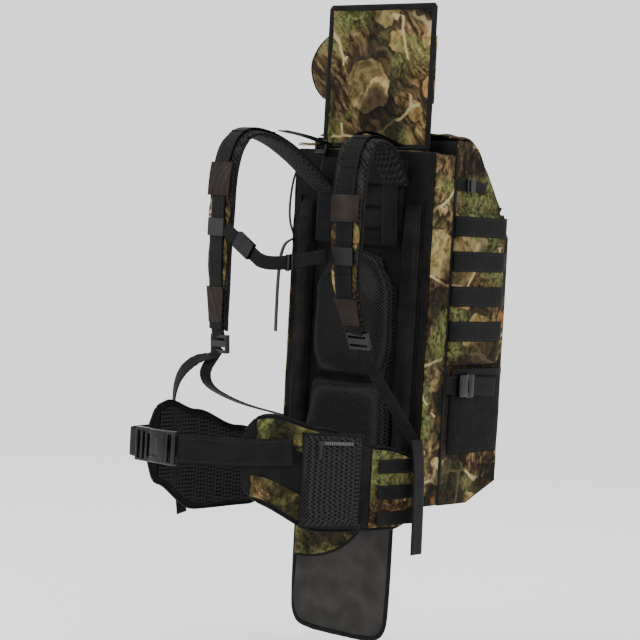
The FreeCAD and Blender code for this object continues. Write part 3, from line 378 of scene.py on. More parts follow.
def between(table, key):
    """A value from a table of (key, value) rows, running smoothly from row to row."""
    if key <= table[0][0]:
        return table[0][1]
    for (low, before), (high, after) in zip(table, table[1:]):
        if key <= high:
            share = (key - low) / (high - low)
            return mix(before, after, share * share * (3 - 2 * share))
    return table[-1][1]


def run_between(table, key):
    """A value from a table of (key, value) rows, running straight from row to row."""
    for (low, before), (high, after) in zip(table, table[1:]):
        if key <= high:
            return mix(before, after, (key - low) / (high - low))
    return table[-1][1]


def folds(x, y, z, reach=45.0, height=2.0):
    """How far slack cloth stands off at a place, in millimetres."""
    return height * noise.noise(Vector((x, y, z)) / reach)


def eased(points, rounds=3):
    """A line with its corners eased off, as webbing takes them."""
    line = [Vector(p) for p in points]
    for _ in range(rounds):
        cut = [line[0]]
        for a, b in zip(line, line[1:]):
            cut += [a.lerp(b, 0.25), a.lerp(b, 0.75)]
        line = cut + [line[-1]]
    return line


class Route:
    """A smooth line through the pack, read by the share of its length."""

    def __init__(self, points, rounds=3):
        self.line = eased(points, rounds)
        self.steps = [0.0]
        for a, b in zip(self.line, self.line[1:]):
            self.steps.append(self.steps[-1] + (b - a).length)
        self.length = self.steps[-1]

    def at(self, share):
        """The place and the direction at a share of the length."""
        want = min(max(share, 0.0), 1.0) * self.length
        for i, (low, high) in enumerate(zip(self.steps, self.steps[1:])):
            if want <= high or i == len(self.steps) - 2:
                a, b = self.line[i], self.line[i + 1]
                here = a.lerp(b, (want - low) / (high - low))
                return here, (b - a).normalized()


def patch(place, across=24, along=32, length=1.0):
    """A sheet from a grid: place(u, v) gives each point in millimetres, u and v running from 0 to 1."""
    made = bmesh.new()
    layer = made.loops.layers.uv.new("cloth")
    bmesh.ops.create_grid(made, x_segments=across, y_segments=along, size=0.5, calc_uvs=True)
    for face in made.faces:
        for loop in face.loops:
            loop[layer].uv.y *= length
    for vert in made.verts:
        vert.co = mm(*place(vert.co.x + 0.5, vert.co.y + 0.5))
    return made


def closed(made):
    """Joins a sheet's edges where they meet, fills what stays open, and turns its faces outwards."""
    bmesh.ops.remove_doubles(made, verts=made.verts, dist=0.00004)
    bmesh.ops.holes_fill(made, edges=[e for e in made.edges if e.is_boundary])
    bmesh.ops.recalc_face_normals(made, faces=made.faces)
    return made


def piece(name, made, finish, body, *nodes, wall=0.0):
    """An object of a mesh, with its finish, its wall in millimetres, its body and the nodes it stands for."""
    mesh = bpy.data.meshes.new(name)
    made.to_mesh(mesh)
    made.free()
    mesh.materials.append(finish)
    mesh.shade_smooth()
    mesh.set_sharp_from_angle(angle=math.radians(55))
    thing = bpy.data.objects.new(name, mesh)
    bpy.context.scene.collection.objects.link(thing)
    if wall:
        shell = thing.modifiers.new("wall", "SOLIDIFY")
        shell.thickness = wall / 1000
        shell.offset = 0
    if body:
        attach(thing, body)
    if nodes:
        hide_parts(*nodes)
    return thing


def strip(name, points, width, across, finish, body, *nodes, thick=2.0, rounds=3, columns=6):
    """Flat webbing along a line; across is the direction of its width, or one direction for each end."""
    route = Route(points, rounds)
    ends = across if isinstance(across, (list, tuple)) else (across, across)

    def place(u, v):
        here, run = route.at(v)
        side = ends[0].lerp(ends[1], v)
        side = (side - run * side.dot(run)).normalized()
        # webbing is a little thicker at its middle than at its edges
        crown = run.cross(side) * 0.25 * math.cos(math.pi * (u - 0.5))
        return here + side * width * (u - 0.5) + crown

    made = patch(place, columns, max(8, int(route.length / 5)), route.length / 1000)
    return piece(name, made, finish, body, *nodes, wall=thick)


def edging(name, points, width, normal, finish, body, *nodes, thick=3.5, rounds=2):
    """Tape folded over an edge that runs in one plane."""
    route = Route(points, rounds)

    def place(u, v):
        here, run = route.at(v)
        side = run.cross(normal).normalized()
        turn = 2 * math.pi * u
        return here + side * (width / 2) * math.cos(turn) + normal * (thick / 2) * power(math.sin(turn), 0.6)

    made = closed(patch(place, 12, max(12, int(route.length / 5)), route.length / 1000))
    return piece(name, made, finish, body, *nodes)


def piping(name, points, radius, steps, length, body):
    """A cord sewn along an edge: a round tube through a line of points."""
    rim = Route(points, 1)

    def roll(u, v):
        here, run = rim.at(v)
        turn = 2 * math.pi * u
        first = run.orthogonal().normalized()
        return here + radius * (first * math.cos(turn) + run.cross(first) * math.sin(turn))

    return piece(name, closed(patch(roll, 8, steps, length)), TAPE, body)


def power(value, exponent):
    """A power that keeps its sign, which squares off a round section."""
    return math.copysign(abs(value) ** exponent, value)


def cushion(name, outline, depth, finish, body, *nodes, channels=(), fine=(36, 60)):
    """A sewn pad on a flat back: outline(u, v) is its back, and depth(u, v) how far each point stands off."""
    def place(u, v):
        edge = (1 - abs(2 * u - 1) ** 5) * (1 - abs(2 * v - 1) ** 6)
        sewn = 1.0
        for at, wide in channels:
            sewn *= 1 - 0.5 * math.exp(-((v - at) / wide) ** 2)
        return outline(u, v, depth * sewn * max(edge, 0.0) ** 0.4)

    return piece(name, closed(patch(place, *fine)), finish, body, *nodes)


def swell(thing, reach, against=None):
    """Blows a closed pad up as cloth, with no point moving further than reach in millimetres.

    Nothing moves towards against, the direction of whatever the pad's flat back lies on.
    """
    before = [vert.co.copy() for vert in thing.data.vertices]
    blown = thing.modifiers.new("blown", "CLOTH")
    blown.settings.use_pressure = True
    blown.settings.uniform_pressure_force = 4
    blown.settings.effector_weights.gravity = 0
    blown.settings.quality = 4
    blown.point_cache.frame_start = 1
    blown.point_cache.frame_end = 20
    for step in range(1, 21):
        bpy.context.scene.frame_set(step)
    shaped = thing.evaluated_get(bpy.context.evaluated_depsgraph_get())
    after = [vert.co.copy() for vert in shaped.data.vertices]
    thing.modifiers.remove(blown)
    bpy.context.scene.frame_set(1)
    for vert, old, new in zip(thing.data.vertices, before, after):
        move = new - old
        if against and move.dot(against) > 0:
            move -= against * move.dot(against)
        if move.length > reach / 1000:
            move = move.normalized() * reach / 1000
        vert.co = old + move
    thing.data.update()


def block(made, size, centre, bevel=1.0):
    """Adds a bevelled bar to a mesh, for moulded parts. Sizes in millimetres."""
    cube = bmesh.ops.create_cube(made, size=1)["verts"]
    bmesh.ops.scale(made, verts=cube, vec=[side / 1000 for side in size])
    edges = list({e for v in cube for e in v.link_edges})
    cut = bmesh.ops.bevel(made, geom=edges, offset=bevel / 1000, segments=3, profile=0.5, affect="EDGES",
                          material=-1)
    verts = list({v for f in cut["faces"] for v in f.verts} | {v for v in cube if v.is_valid})
    bmesh.ops.translate(made, verts=verts, vec=mm(*centre))


# ---------------------------------------------------------------- hood


def build_hood():
    left, right, low, high, y = -131, 131, 658, 931, 30
    ear_low, ear_high = 745, 871

    def cloth(u, v):
        x, z = mix(left + 3, right - 3, u), mix(low + 1, high - 3, v)
        return x, y + folds(x, 0, z, 60, 1.6) + folds(x, 9, z, 22, 0.5), z

    hood = piece("hood_cloth", patch(cloth, 60, 60), CAMO, "hood", "hood_panel", wall=1.4)
    ring = [(left + 6, low + 5), (left + 6, high - 6), (right - 6, high - 6), (right - 6, low + 5)]
    corners = [Vector((x, y, z)) for x, z in ring]
    for i, side in enumerate(("left", "top", "right", "base")):
        nodes = ["hood_binding"] if i == 0 else []
        edging(f"hood_edge_{side}", [corners[i], corners[(i + 1) % 4]], 12, BEHIND, TAPE, "hood", *nodes,
               thick=4.6)

    def left_ear(u, v):
        reach = 58 * (math.sin(math.pi * (0.06 + 0.9 * v)) ** 0.55)
        x = -122 - reach * u
        z = mix(ear_low, ear_high, v) + 10 * u * (1 - v)
        return x, 35 + 7 * u * u + folds(x, 0, z, 30, 2.5 * u), z

    ear = piece("hood_ear_outer", patch(left_ear, 20, 40), CAMO, "hood", "hood_ear_left", wall=1.4)
    rim = [Vector(left_ear(1.0, i / 14)) for i in range(15)]
    edging("hood_ear_edge", rim, 5, BEHIND, TAPE, "hood", thick=3.2)

    def right_ear(u, v):
        x, z = mix(67, 130, u), mix(ear_low, ear_high, v)
        return x, 35.5 + folds(x, 3, z, 30, 1.0), z

    ear = piece("hood_ear_folded", patch(right_ear, 16, 30), CAMO, "hood", "hood_ear_right", wall=1.4)

    def apron(u, v):
        return mix(left, right, u), mix(13, y, v), 656 + 1.2 * math.sin(math.pi * v)

    base = piece("hood_base_strip", patch(apron, 30, 8), CAMO, None, "hood_apron", wall=1.2)
    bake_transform(base)


# ---------------------------------------------------------------- stock flap


def build_stock_flap():
    corner, half, top, low = 58, 120, -3, -263

    def reach(z):
        into = corner - (z - low)
        return half if into <= 0 else half - corner + math.sqrt(max(corner * corner - into * into, 0))

    def cloth(u, v):
        z = mix(top, low, 1 - (1 - v) ** 1.15)
        x = mix(-reach(z) + 2, reach(z) - 2, u)
        return x, -4 + folds(x, 0, z, 70, 2.4) + folds(x, 5, z, 25, 0.6), z

    flap = piece("stock_flap_cloth", patch(cloth, 50, 60), COATED, None, "stock_flap", wall=2.0)
    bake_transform(flap)
    outline = [(half - 3, top), (half - 3, -180), (half - 8, low + 14), (half - 55, low + 4)]
    edge = [Vector((-x, -4, z)) for x, z in outline] + [Vector((x, -4, z)) for x, z in reversed(outline)]
    tape = edging("stock_flap_edge", edge, 9, BEHIND, TAPE, None, thick=5.5)
    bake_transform(tape)

    def yoke(u, v):
        x = mix(-116, 62, u)
        z = mix(top, -8 - 116 * (1 - u ** 2.2) ** 0.6, v)
        return x, -6.6 + folds(x, 0, z, 70, 2.4) + folds(x, 5, z, 25, 0.6), z

    top_patch = piece("stock_flap_yoke", patch(yoke, 30, 20), CAMO, None, "stock_yoke", wall=1.2)
    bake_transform(top_patch)
    line = [Vector(yoke(0.02 + 0.96 * i / 12, 1.0)) for i in range(13)]
    seam = edging("stock_flap_yoke_seam", line, 4, BEHIND, TAPE, None, thick=3)
    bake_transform(seam)


# ---------------------------------------------------------------- back panel and pads


def build_panel():
    made = bmesh.new()
    block(made, (336, 18, 653), (0, 9, 328.5), bevel=4)
    bmesh.ops.subdivide_edges(made, edges=made.edges, cuts=2, use_grid_fill=True)
    piece("back_panel_sleeve", made, BLACK, "pack", "back_panel")

    def spine(u, v, off):
        # an arch: narrow at the top, wide over the shoulder blades, narrow again at the waist
        half = between([(0.0, 86), (0.3, 99), (0.7, 96), (1.0, 62)], v)
        x = mix(-half, half, u)
        z = mix(229, 469, v) - 14 * (2 * u - 1) ** 2 * v
        return x, -0.4 - off, z

    pad = cushion("spine_pad_cover", spine, 20, MESH, "pack", "spine_pad")
    swell(pad, 3, BEHIND)

    def lumbar(u, v, off):
        half = between([(0.0, 92), (0.4, 101), (1.0, 95)], v)
        return mix(-half, half, u), -0.4 - off, mix(37, 223, v) + 8 * (2 * u - 1) ** 2 * (1 - v)

    pad = cushion("lumbar_pad_cover", lumbar, 26, MESH, "pack", "lumbar_pad")
    swell(pad, 3, BEHIND)

    def yoke(u, v, off):
        half = between([(0.0, 104), (0.5, 100), (1.0, 107)], v)
        return mix(-half, half, u), -0.3 - off, mix(475, 639, v)

    pad = cushion("harness_yoke_cover", yoke, 11, BLACK, "pack", "harness_yoke",
                  channels=((0.2, 0.02), (0.45, 0.02), (0.7, 0.02)))
    for side, name in ((-1, "left"), (1, "right")):
        def rail(u, v, off, side=side):
            return side * mix(109, 147, u), -0.3 - off, mix(41, 559, v)

        pad = cushion(f"rail_{name}_cover", rail, 17, BLACK, "pack", f"rail_{name}", fine=(20, 90))
        swell(pad, 2, BEHIND)
        welt = [Vector((side * 150, -2, 36)), Vector((side * 150, -2, 300)), Vector((side * 150, -2, 566))]
        edging(f"rail_{name}_welt", welt, 4, BEHIND, TAPE, "pack", thick=3.5)
    # the two webbing uprights that the shoulder straps are sewn to
    for side, name in ((-1, "left"), (1, "right")):
        points = [(side * x, y, z) for x, y, z in (
            (76, -12.5, 640), (78, -14.5, 600), (80, -14.5, 540), (82, -12, 480))]
        strip(f"yoke_upright_{name}", points, 38, ACROSS, WEB, "pack", thick=1.6)


# ---------------------------------------------------------------- bag

# the bag's side walls, out from the middle, and the line of their top and base edges as (y, z)
SIDE = 172
SIDE_TOP = [(60, 680), (106, 680), (164, 614), (238, 500)]
SIDE_BASE = [(60, 1.5), (148, 1.5), (238, 40)]


def build_bag():
    for side, name in ((-1, "left"), (1, "right")):
        def channel(u, v, side=side):
            y, z = mix(1.5, 62, u), mix(3, 652, v)
            return side * (SIDE - 1.6 + 1.3 * math.sin(math.pi * u) + folds(side * 40, y, z, 40, 1.2)), y, z

        skin = piece(f"channel_side_{name}", patch(channel, 14, 110), CAMO, "pack", f"gusset_{name}",
                     wall=1.4)
        seam = [Vector((side * (SIDE + 0.4), 61.5, z)) for z in (4, 300, 664)]
        edging(f"bag_seam_{name}", seam, 8, ACROSS, TAPE, "pack", thick=3)

        def wall(u, v, side=side):
            y = mix(62, 236, u)
            z = mix(run_between(SIDE_BASE, y), run_between(SIDE_TOP, y), v)
            puff = math.sin(math.pi * u) * math.sin(math.pi * v) ** 0.4
            return side * (SIDE - 1.8 + 1.2 * puff + folds(side * 90, y, z, 38, 1.1)), y, z

        skin = piece(f"bag_wall_{name}", patch(wall, 40, 110), CAMO, "pack", f"bag_side_{name}", wall=1.4)

    def front(u, v):
        x, z = mix(1 - SIDE, SIDE - 1, u), mix(41, 499, v)
        round_off = (1 - abs(2 * u - 1) ** 6)
        return x, 232 + 5 * round_off + folds(x, 70, z, 45, 1.5), z

    skin = piece("bag_front_wall", patch(front, 60, 70), CAMO, "pack", "bag_front", wall=1.4)

    def base(u, v):
        x, y = mix(1 - SIDE, SIDE - 1, u), mix(60.5, 237, v)
        return x, y, run_between(SIDE_BASE, y) + 0.4 + 1.5 * (2 * u - 1) ** 8

    skin = piece("bag_base_cloth", patch(base, 40, 30), BLACK, "pack", "bag_base", wall=1.8)

    def back(u, v):
        return mix(1 - SIDE, SIDE - 1, u), 61.5, mix(4, 679, v)

    skin = piece("bag_back_wall", patch(back, 30, 50), BLACK, "pack", "bag_back", wall=1.4)

    def pouch(u, v, off):
        return mix(-109, 109, u), 238.3 + off, mix(111, 379, v)

    pad = cushion("front_pocket_cloth", pouch, 23, CAMO, "pack", "front_pocket", fine=(50, 60))


# the lid's line from its seam over the bag's top and down to its hem, as (y, z)
LID = [(66, 690), (108, 690), (166, 622), (213, 560)]


def build_collar():
    """Gathered cloth that closes the bag's mouth under the lid."""
    def collar(u, v):
        x = mix(-168, 168, u)
        y, z = mix(235, 196, v), mix(499, 566, v)
        gather = 2.2 * math.sin(x / 5.5 + 1.5 * math.sin(x / 31)) * math.sin(math.pi * min(v + 0.2, 1.0))
        sag = -6 * math.sin(math.pi * u) * v
        return x, y + gather * 0.8 + sag, z + gather * 0.5

    cloth = piece("bag_collar", patch(collar, 160, 14), BLACK, "pack", wall=1.2)


def build_lid():
    route = Route([(0, y, z) for y, z in LID], 3)

    def lid(u, v):
        here, run = route.at(v)
        x = mix(-SIDE, SIDE, u)
        out = Vector((0, -run.z, run.y))
        out = out if out.z > 0 else -out
        hem = abs(2 * u - 1) ** 8
        lift = 3.0 * math.sin(math.pi * v) - 7 * hem + folds(x, here.y, here.z, 26, 3.4)
        lift += 1.6 * math.sin(x / 7.0) * (v ** 3)
        return Vector((x * (1 - 0.008 * hem), here.y, here.z)) + out * lift

    top = piece("lid_cloth", patch(lid, 90, 60), CAMO, "lid", "lid_panel", wall=3.0)
    edge = [Vector(lid(i / 20, 1.0)) for i in range(21)]
    strip("lid_hem", edge, 12, Vector((0, 0.4, 1)), TAPE, "lid", thick=2.4, rounds=1)
    for side in (-1, 1):
        x = side * 95
        nodes = ["lid_tabs"] if side < 0 else []
        strip(f"lid_tab_{'left' if side < 0 else 'right'}", [(x, 209, 566), (x, 231, 540), (x, 240, 507)], 36,
              ACROSS, WEB, "lid", *nodes)


# ---------------------------------------------------------------- side pockets


# the middles of the webbing rows on each side pocket
ROWS = [327.5 + 65 * i for i in range(4)]


def build_sides():
    for side, name in ((-1, "left"), (1, "right")):
        def pocket(u, v, side=side):
            y, z = mix(62, 215, u), mix(263, 547, v)
            held = 0.0
            for row in ROWS:
                held = max(held, math.exp(-((z - row) / 17) ** 4))
            edge = (1 - abs(2 * u - 1) ** 6) ** 0.5 * (1 - abs(2 * v - 1) ** 14) ** 0.5
            out = (13.2 + 3.0 * (1 - held)) * edge + folds(side * 50, y, z, 24, 1.4) * (1 - held) * edge
            return side * (SIDE + 0.3 + out), y, z

        skin = piece(f"side_pocket_{name}_cloth", patch(pocket, 40, 100), CAMO, "pack", f"side_pocket_{name}",
                     wall=1.2)
        for i, z in enumerate(ROWS):
            nodes = [f"side_webbing_{name}"] if i == 0 else []
            points = [(side * x, y, z + rise) for x, y, rise in (
                (173.5, 61, 0), (186, 66, 0), (189, 90, 0.5), (189.3, 140, -0.5),
                (189, 190, 0), (186, 211, 0), (173.5, 216.5, 0))]
            strip(f"side_row_{name}_{i}", points, 37, UP, WEB, "pack", *nodes, thick=1.8)
        points = [(side * x, y, z) for x, y, z in (
            (173.2, 61, 598), (175.5, 76, 599), (175.5, 130, 597), (173.8, 152, 592))]
        strip(f"cinch_strap_{name}", points, 20, UP, WEB, "pack", thick=1.8)
        made = bmesh.new()
        block(made, (5, 24, 26), (side * 178, 100, 598), bevel=1.6)
        block(made, (7, 5, 22), (side * 180, 96, 598), bevel=1.2)
        piece(f"cinch_lock_{name}", made, ACETAL, "pack")

        def lower(u, v, side=side):
            y, z = mix(77, 233, u), mix(97, 251, v)
            edge = (1 - abs(2 * u - 1) ** 5) ** 0.5 * (1 - (1 - v) ** 8) ** 0.5
            out = (7.2 + 1.5 * math.sin(math.pi * v)) * edge + folds(side * 50, y, z, 22, 1.0) * edge
            return side * (SIDE + 0.2 + out), y, z

        skin = piece(f"lower_pocket_{name}_knit", patch(lower, 30, 34), STRETCH, "pack",
                     f"lower_pocket_{name}", wall=1.2)
        hem = [Vector(lower(i / 12, 1.0)) + Vector((side * 0.8, 0, 0)) for i in range(13)]
        strip(f"lower_pocket_{name}_hem", hem, 12, UP, TAPE, "pack", thick=2.0, rounds=1)
        # a 38 mm side-release buckle on its strap, over the pocket
        points = [(side * x, y, z) for x, y, z in (
            (173.6, 62, 228), (182.5, 84, 227), (183, 150, 224), (181.5, 205, 221), (173.6, 222, 220))]
        strip(f"lower_buckle_strap_{name}", points, 36, UP, WEB, "pack", thick=1.8)
        made = bmesh.new()
        x = side * 187.5
        block(made, (9, 24, 42), (x, 97, 226), bevel=2.4)
        block(made, (8, 16, 44), (x, 120, 225.5), bevel=2.4)
        block(made, (6, 8, 12), (x, 110, 243), bevel=2.0)
        block(made, (6, 8, 12), (x, 110, 209), bevel=2.0)
        block(made, (10, 3.5, 36), (x, 91, 226), bevel=1.2)
        piece(f"lower_buckle_{name}", made, ACETAL, "pack")


# ---------------------------------------------------------------- shoulder harness

# each strap's line as (out from the panel, height), its place across, and its turn outwards in degrees
STRAPS = {"right": ([(4, 585), (76, 672), (150, 662), (150, 415), (130, 372), (106, 322)], 88, -3),
          "left": ([(4, 568), (140, 668), (258, 676), (258, 430), (254, 380), (249, 303)], -76, 9)}


class Strap:
    """One shoulder strap's surface, read by the share of its length and the millimetres across and out."""

    def __init__(self, side):
        path, self.x, turn = STRAPS[side]
        self.path = path
        self.turn = math.radians(turn)
        self.route = Route([(out, 0, z) for out, z in path], 3)
        self.length = self.route.length

    def at(self, share, across, off):
        here, run = self.route.at(share)
        out, z = here.x - run.z * off, here.z + run.x * off
        return self.spot(out, across, z)

    def spot(self, out, across, z):
        """A place given by how far out it is, how far across, and its height."""
        x = self.x - math.sin(self.turn) * out + math.cos(self.turn) * across
        y = -math.cos(self.turn) * out - math.sin(self.turn) * across
        return Vector((x, y, z))

    def beyond(self, extra):
        """A place past the strap's end, on along its last run."""
        (a, b), (c, d) = self.path[-2:]
        run = Vector((c - a, 0, d - b)).normalized()
        return self.spot(c + run.x * extra, 0, d + run.z * extra)


def strap_band(name, strap, span, low, high, off, finish, *nodes, wall=1.2, along=60):
    """Cloth or webbing laid on a strap, between two distances across that may change along it."""
    def place(u, v):
        share = mix(span[0], span[1], v)
        left = low(v) if callable(low) else low
        right = high(v) if callable(high) else high
        return strap.at(share, mix(left, right, u), off)

    made = patch(place, 8, along, strap.length * (span[1] - span[0]) / 1000)
    return piece(name, made, finish, "pack", *nodes, wall=wall)


def half_width(share):
    """Half a shoulder strap's width along it: widest over the shoulder and tapering to its tip."""
    return between([(0.0, 30), (0.25, 36), (0.6, 34), (0.8, 29), (1.0, 20)], share)


def build_straps():
    for side in ("right", "left"):
        strap = Strap(side)

        def pad(u, v, strap=strap):
            share = mix(0.022, 0.995, v)
            tip = min(1.0, (1 - v) / 0.02) ** 0.5 if v > 0.98 else 1.0
            turn = 2 * math.pi * u
            return strap.at(share, half_width(share) * power(math.cos(turn), 0.75) * max(tip, 0.3),
                            5.6 * power(math.sin(turn), 0.62))

        body = piece(f"shoulder_pad_{side}", closed(patch(pad, 32, 150)), COARSE, "pack", f"strap_pad_{side}")
        swell(body, 0.8)
        for edge in (-1, 1):
            rim = [strap.at(mix(0.03, 0.99, i / 40), edge * (half_width(mix(0.03, 0.99, i / 40)) - 0.5), 0)
                   for i in range(41)]
            word = "inner" if edge < 0 else "outer"
            piping(f"shoulder_piping_{side}_{word}", rim, 3.2, 120, 0.6, "pack")
            # slivers of printed cloth either side of the webbing, over the lower half
            for first, last, tag in ((0.595, 0.70, "upper"), (0.71, 0.86, "lower")):
                def near(v, edge=edge):
                    return edge * 17.5

                def far(v, edge=edge, first=first, last=last):
                    return edge * (17.5 + (half_width(mix(first, last, v)) - 18.5)
                                   * math.sin(math.pi * mix(0.03, 0.97, v)) ** 0.6)

                sliver = strap_band(f"strap_print_{side}_{word}_{tag}", strap, (first, last), near, far, 6.8,
                                    CAMO, wall=0.6)
        strap_band(f"shoulder_webbing_{side}", strap, (0.03, 0.985), -18.5, 18.5, 10.1, WEB,
                   f"strap_webbing_{side}", wall=2.0, along=120)
        strap_band(f"shoulder_webbing_bed_{side}", strap, (0.03, 0.97), -12, 12, 7.9, BLACK, wall=2.4,
                   along=120)
        label = strap_band(f"strap_label_{side}", strap, (0.50, 0.595), -31, 31, 11.9, PATCH)

        def rub_edge(v):
            return half_width(0.86 + 0.1 * v) - 2

        rub = strap_band(f"strap_rub_patch_{side}", strap, (0.86, 0.965), lambda v: -rub_edge(v), rub_edge,
                         11.8, PATCH)
        for i, share in enumerate((0.30, 0.40, 0.66, 0.78)):
            strap_band(f"strap_bartack_{side}_{i}", strap, (share, share + 0.006), -19, 19, 11.6, TAPE,
                       wall=1.0, along=4)
        points = [strap.at(0.95, 0, 8.5), strap.at(0.99, 0, 6), strap.beyond(14)]
        strip(f"lock_loop_{side}", points, 30, ACROSS, WEB, "pack", thick=2.4, rounds=1)
    lower = {"right": [(126, -78, 236), (159, -42, 164), (170, -4, 110)],
             "left": [(-148, -262, 215), (-168, -140, 168), (-170, -4, 139)]}
    for side, route in lower.items():
        start = Strap(side).beyond(24)
        strip(f"lower_adjuster_{side}", [start] + route, 30 if side == "right" else 25,
              ACROSS, WEB, "pack", f"lower_web_{side}")
    lifters = {"right": [(91, -104, 686), (88, -50, 676), (86, -3, 664)],
               "left": [(-94, -128, 682), (-92, -60, 676), (-90, -3, 664)]}
    for side, route in lifters.items():
        nodes = ["load_lifters"] if side == "right" else []
        strip(f"load_lifter_{side}", route, 25, ACROSS, WEB, "pack", *nodes)
    points = [(x, 3, z) for x, z in (
        (-26, 656), (-27, 680), (-16, 688), (0, 688.5), (16, 688), (27, 680), (26, 656))]
    strip("haul_handle", points, 18, BEHIND, WEB, "pack", "haul_loop", thick=2.8, rounds=2)
    strip("strap_tail_near", [(189.5, -34, 132), (199, -35.5, 85), (203, -37, 20), (207, -40, -76)], 38,
          Vector((0.15, -1, 0)), WEB, "pack", "strap_tail_right")
    start = Strap("left").beyond(38)
    tail = strip("strap_tail_far", [start, (-170, -262, 250), (-225, -250, 200), (-232, -234, 100),
                                    (-230, -205, -46)], 25, (ACROSS, Vector((0, -1, 0))), WEB, None,
                 "strap_tail_left")
    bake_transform(tail)


def build_side_straps():
    """Compression webbing loose beside the panel's left edge, and the patch at its upper corner."""
    strip("compression_tail_left", [(-172, 8, 482), (-186, -8, 470), (-190, -14, 420), (-189, -14, 300)], 25,
          Vector((0.8, -0.6, 0)), WEB, "pack", thick=1.8)
    strip("compression_strap_left", [(-173, 14, 630), (-180, 2, 590), (-183, 0, 520), (-172, 8, 484)], 15,
          Vector((0.8, -0.6, 0)), WEB, "pack", thick=1.8)

    def corner(u, v):
        x = mix(-166, -92, u)
        rise = 9 * math.sin(math.pi * mix(0.15, 0.8, v))
        return x, mix(-2.5, 20, v), 657 + rise + folds(x, 0, v * 30, 20, 1.5)

    cloth = piece("panel_corner_print", patch(corner, 24, 12), CAMO, "pack", wall=1.4)
    x, y = -104, -6
    made = bmesh.new()
    for z in (668, 650):
        block(made, (30, 5, 8), (x, y, z), bevel=1.8)
    for side in (-1, 1):
        block(made, (5, 5, 24), (x + side * 12.5, y, 659), bevel=1.8)
    piece("panel_corner_lock", made, ACETAL, "pack")
    points = [(x, -3.2, 632), (x, -4.5, 655), (x, -1, 672)]
    strip("panel_corner_web", points, 20, ACROSS, WEB, "pack", thick=1.6)


def build_chest_strap():
    near, far = Strap("right"), Strap("left")
    start = near.spot(150 + 14.5, -31, 458)
    end = far.spot(258 + 14.5, 31, 498)
    middle = Vector((10, -276, 438))
    centre = middle.lerp(end, 0.5)
    run = (end - middle).normalized()
    points = [start, start.lerp(middle, 0.5) - UP * 5, middle, centre - run * 24]
    strip("chest_strap_near", points, 25, UP, WEB, "chest_strap", "chest_webbing")
    points = [centre + run * 24, centre.lerp(end, 0.6) - UP * 2, end]
    strip("chest_strap_far", points, 25, UP, WEB, "chest_strap")
    made = bmesh.new()
    for share in (0.56, 0.62):
        block(made, (8, 6, 30), start.lerp(middle, share) - UP * 4, bevel=1.6)
    piece("chest_adjuster", made, ACETAL, "chest_strap")


# ---------------------------------------------------------------- hip belt

# each wing's plan as (x, y), and the heights of both wings' top and base edges by the distance out
WING_PLAN = {"right": [(178, -3), (162, -121), (74, -238), (8, -304)],
             "left": [(-178, -3), (-194, -112), (-216, -225), (-210, -326)]}
WING_HIGH = [(0, 94), (104, 118), (200, 150), (270, 170), (300, 163), (335, 122)]
WING_LOW = [(0, -6), (70, -30), (195, -34), (300, 20), (335, 70)]


class Wing:
    """One hip wing's middle surface, read by the share of its length and a height."""

    def __init__(self, side):
        self.route = Route([(x, y, 0) for x, y in WING_PLAN[side]], 3)
        self.out = 1 if side == "right" else -1
        self.length = self.route.length

    def at(self, share, z, off):
        here, run = self.route.at(share)
        outward = Vector((-run.y, run.x, 0)) * self.out
        return Vector((here.x, here.y, z)) + outward * off

    def span(self, share):
        """The lowest and the highest edge at a share of the length."""
        here, _ = self.route.at(share)
        return between(WING_LOW, -here.y), between(WING_HIGH, -here.y)


def wing_band(name, wing, span, low, high, off, finish, body, *nodes, wall=1.2, along=40):
    """Cloth on a wing's outer face, between two shares of its height."""
    def place(u, v):
        share = mix(span[0], span[1], v)
        bottom, top = wing.span(share)
        return wing.at(share, mix(bottom, top, mix(low, high, u)), off)

    return piece(name, patch(place, 14, along, 0.1), finish, body, *nodes, wall=wall)


def build_wings():
    for side in ("left", "right"):
        wing = Wing(side)

        def pad(u, v, wing=wing):
            bottom, top = wing.span(v)
            centre, half = (top + bottom) / 2, (top - bottom) / 2
            half *= 1 - 0.45 * max(0.0, (v - 0.9) / 0.1) ** 2
            turn = 2 * math.pi * u
            quilt = 1 - 0.18 * math.exp(-((v * wing.length % 58 - 29) / 5) ** 2)
            z = centre + half * power(math.cos(turn), 0.9)
            return wing.at(v, z, 6.6 * quilt * power(math.sin(turn), 0.5))

        thing = piece(f"hip_wing_{side}_pad", closed(patch(pad, 60, 90)), BLACK, None, f"hip_wing_{side}")
        swell(thing, 1.5)
        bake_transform(thing)
        for edge, share in (("top", 1), ("base", 0)):
            rim = []
            for i in range(41):
                v = mix(0.01, 0.985, i / 40)
                bottom, top = wing.span(v)
                half = (top - bottom) / 2 * (1 - 0.45 * max(0.0, (v - 0.9) / 0.1) ** 2)
                rim.append(wing.at(v, (top + bottom) / 2 + (half if share else -half), 0))
            tape = piping(f"hip_wing_{side}_{edge}_edge", rim, 3.4, 110, 0.4, None)
            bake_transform(tape)
        mesh = wing_band(f"hip_wing_{side}_lining", wing, (0.05, 0.92), 0.06, 0.94, -9.2, MESH, None)
        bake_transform(mesh)
    wing = Wing("right")
    for name, span, low, high, tall in (
            ("upper", (0.62, 0.93), 0.72, 0.97, 0.05),
            ("lower", (0.66, 0.95), 0.04, 0.30, 0.05),
            ("rear", (0.03, 0.34), 0.03, 0.97, 0.13)):
        cloth = wing_band(f"hip_print_{name}", wing, span, low, high, 9.0, CAMO, "hip_right")
    wing = Wing("left")
    cloth = wing_band("hip_print_far", wing, (0.05, 0.9), 0.05, 0.95, 9.0, CAMO, None)
    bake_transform(cloth)


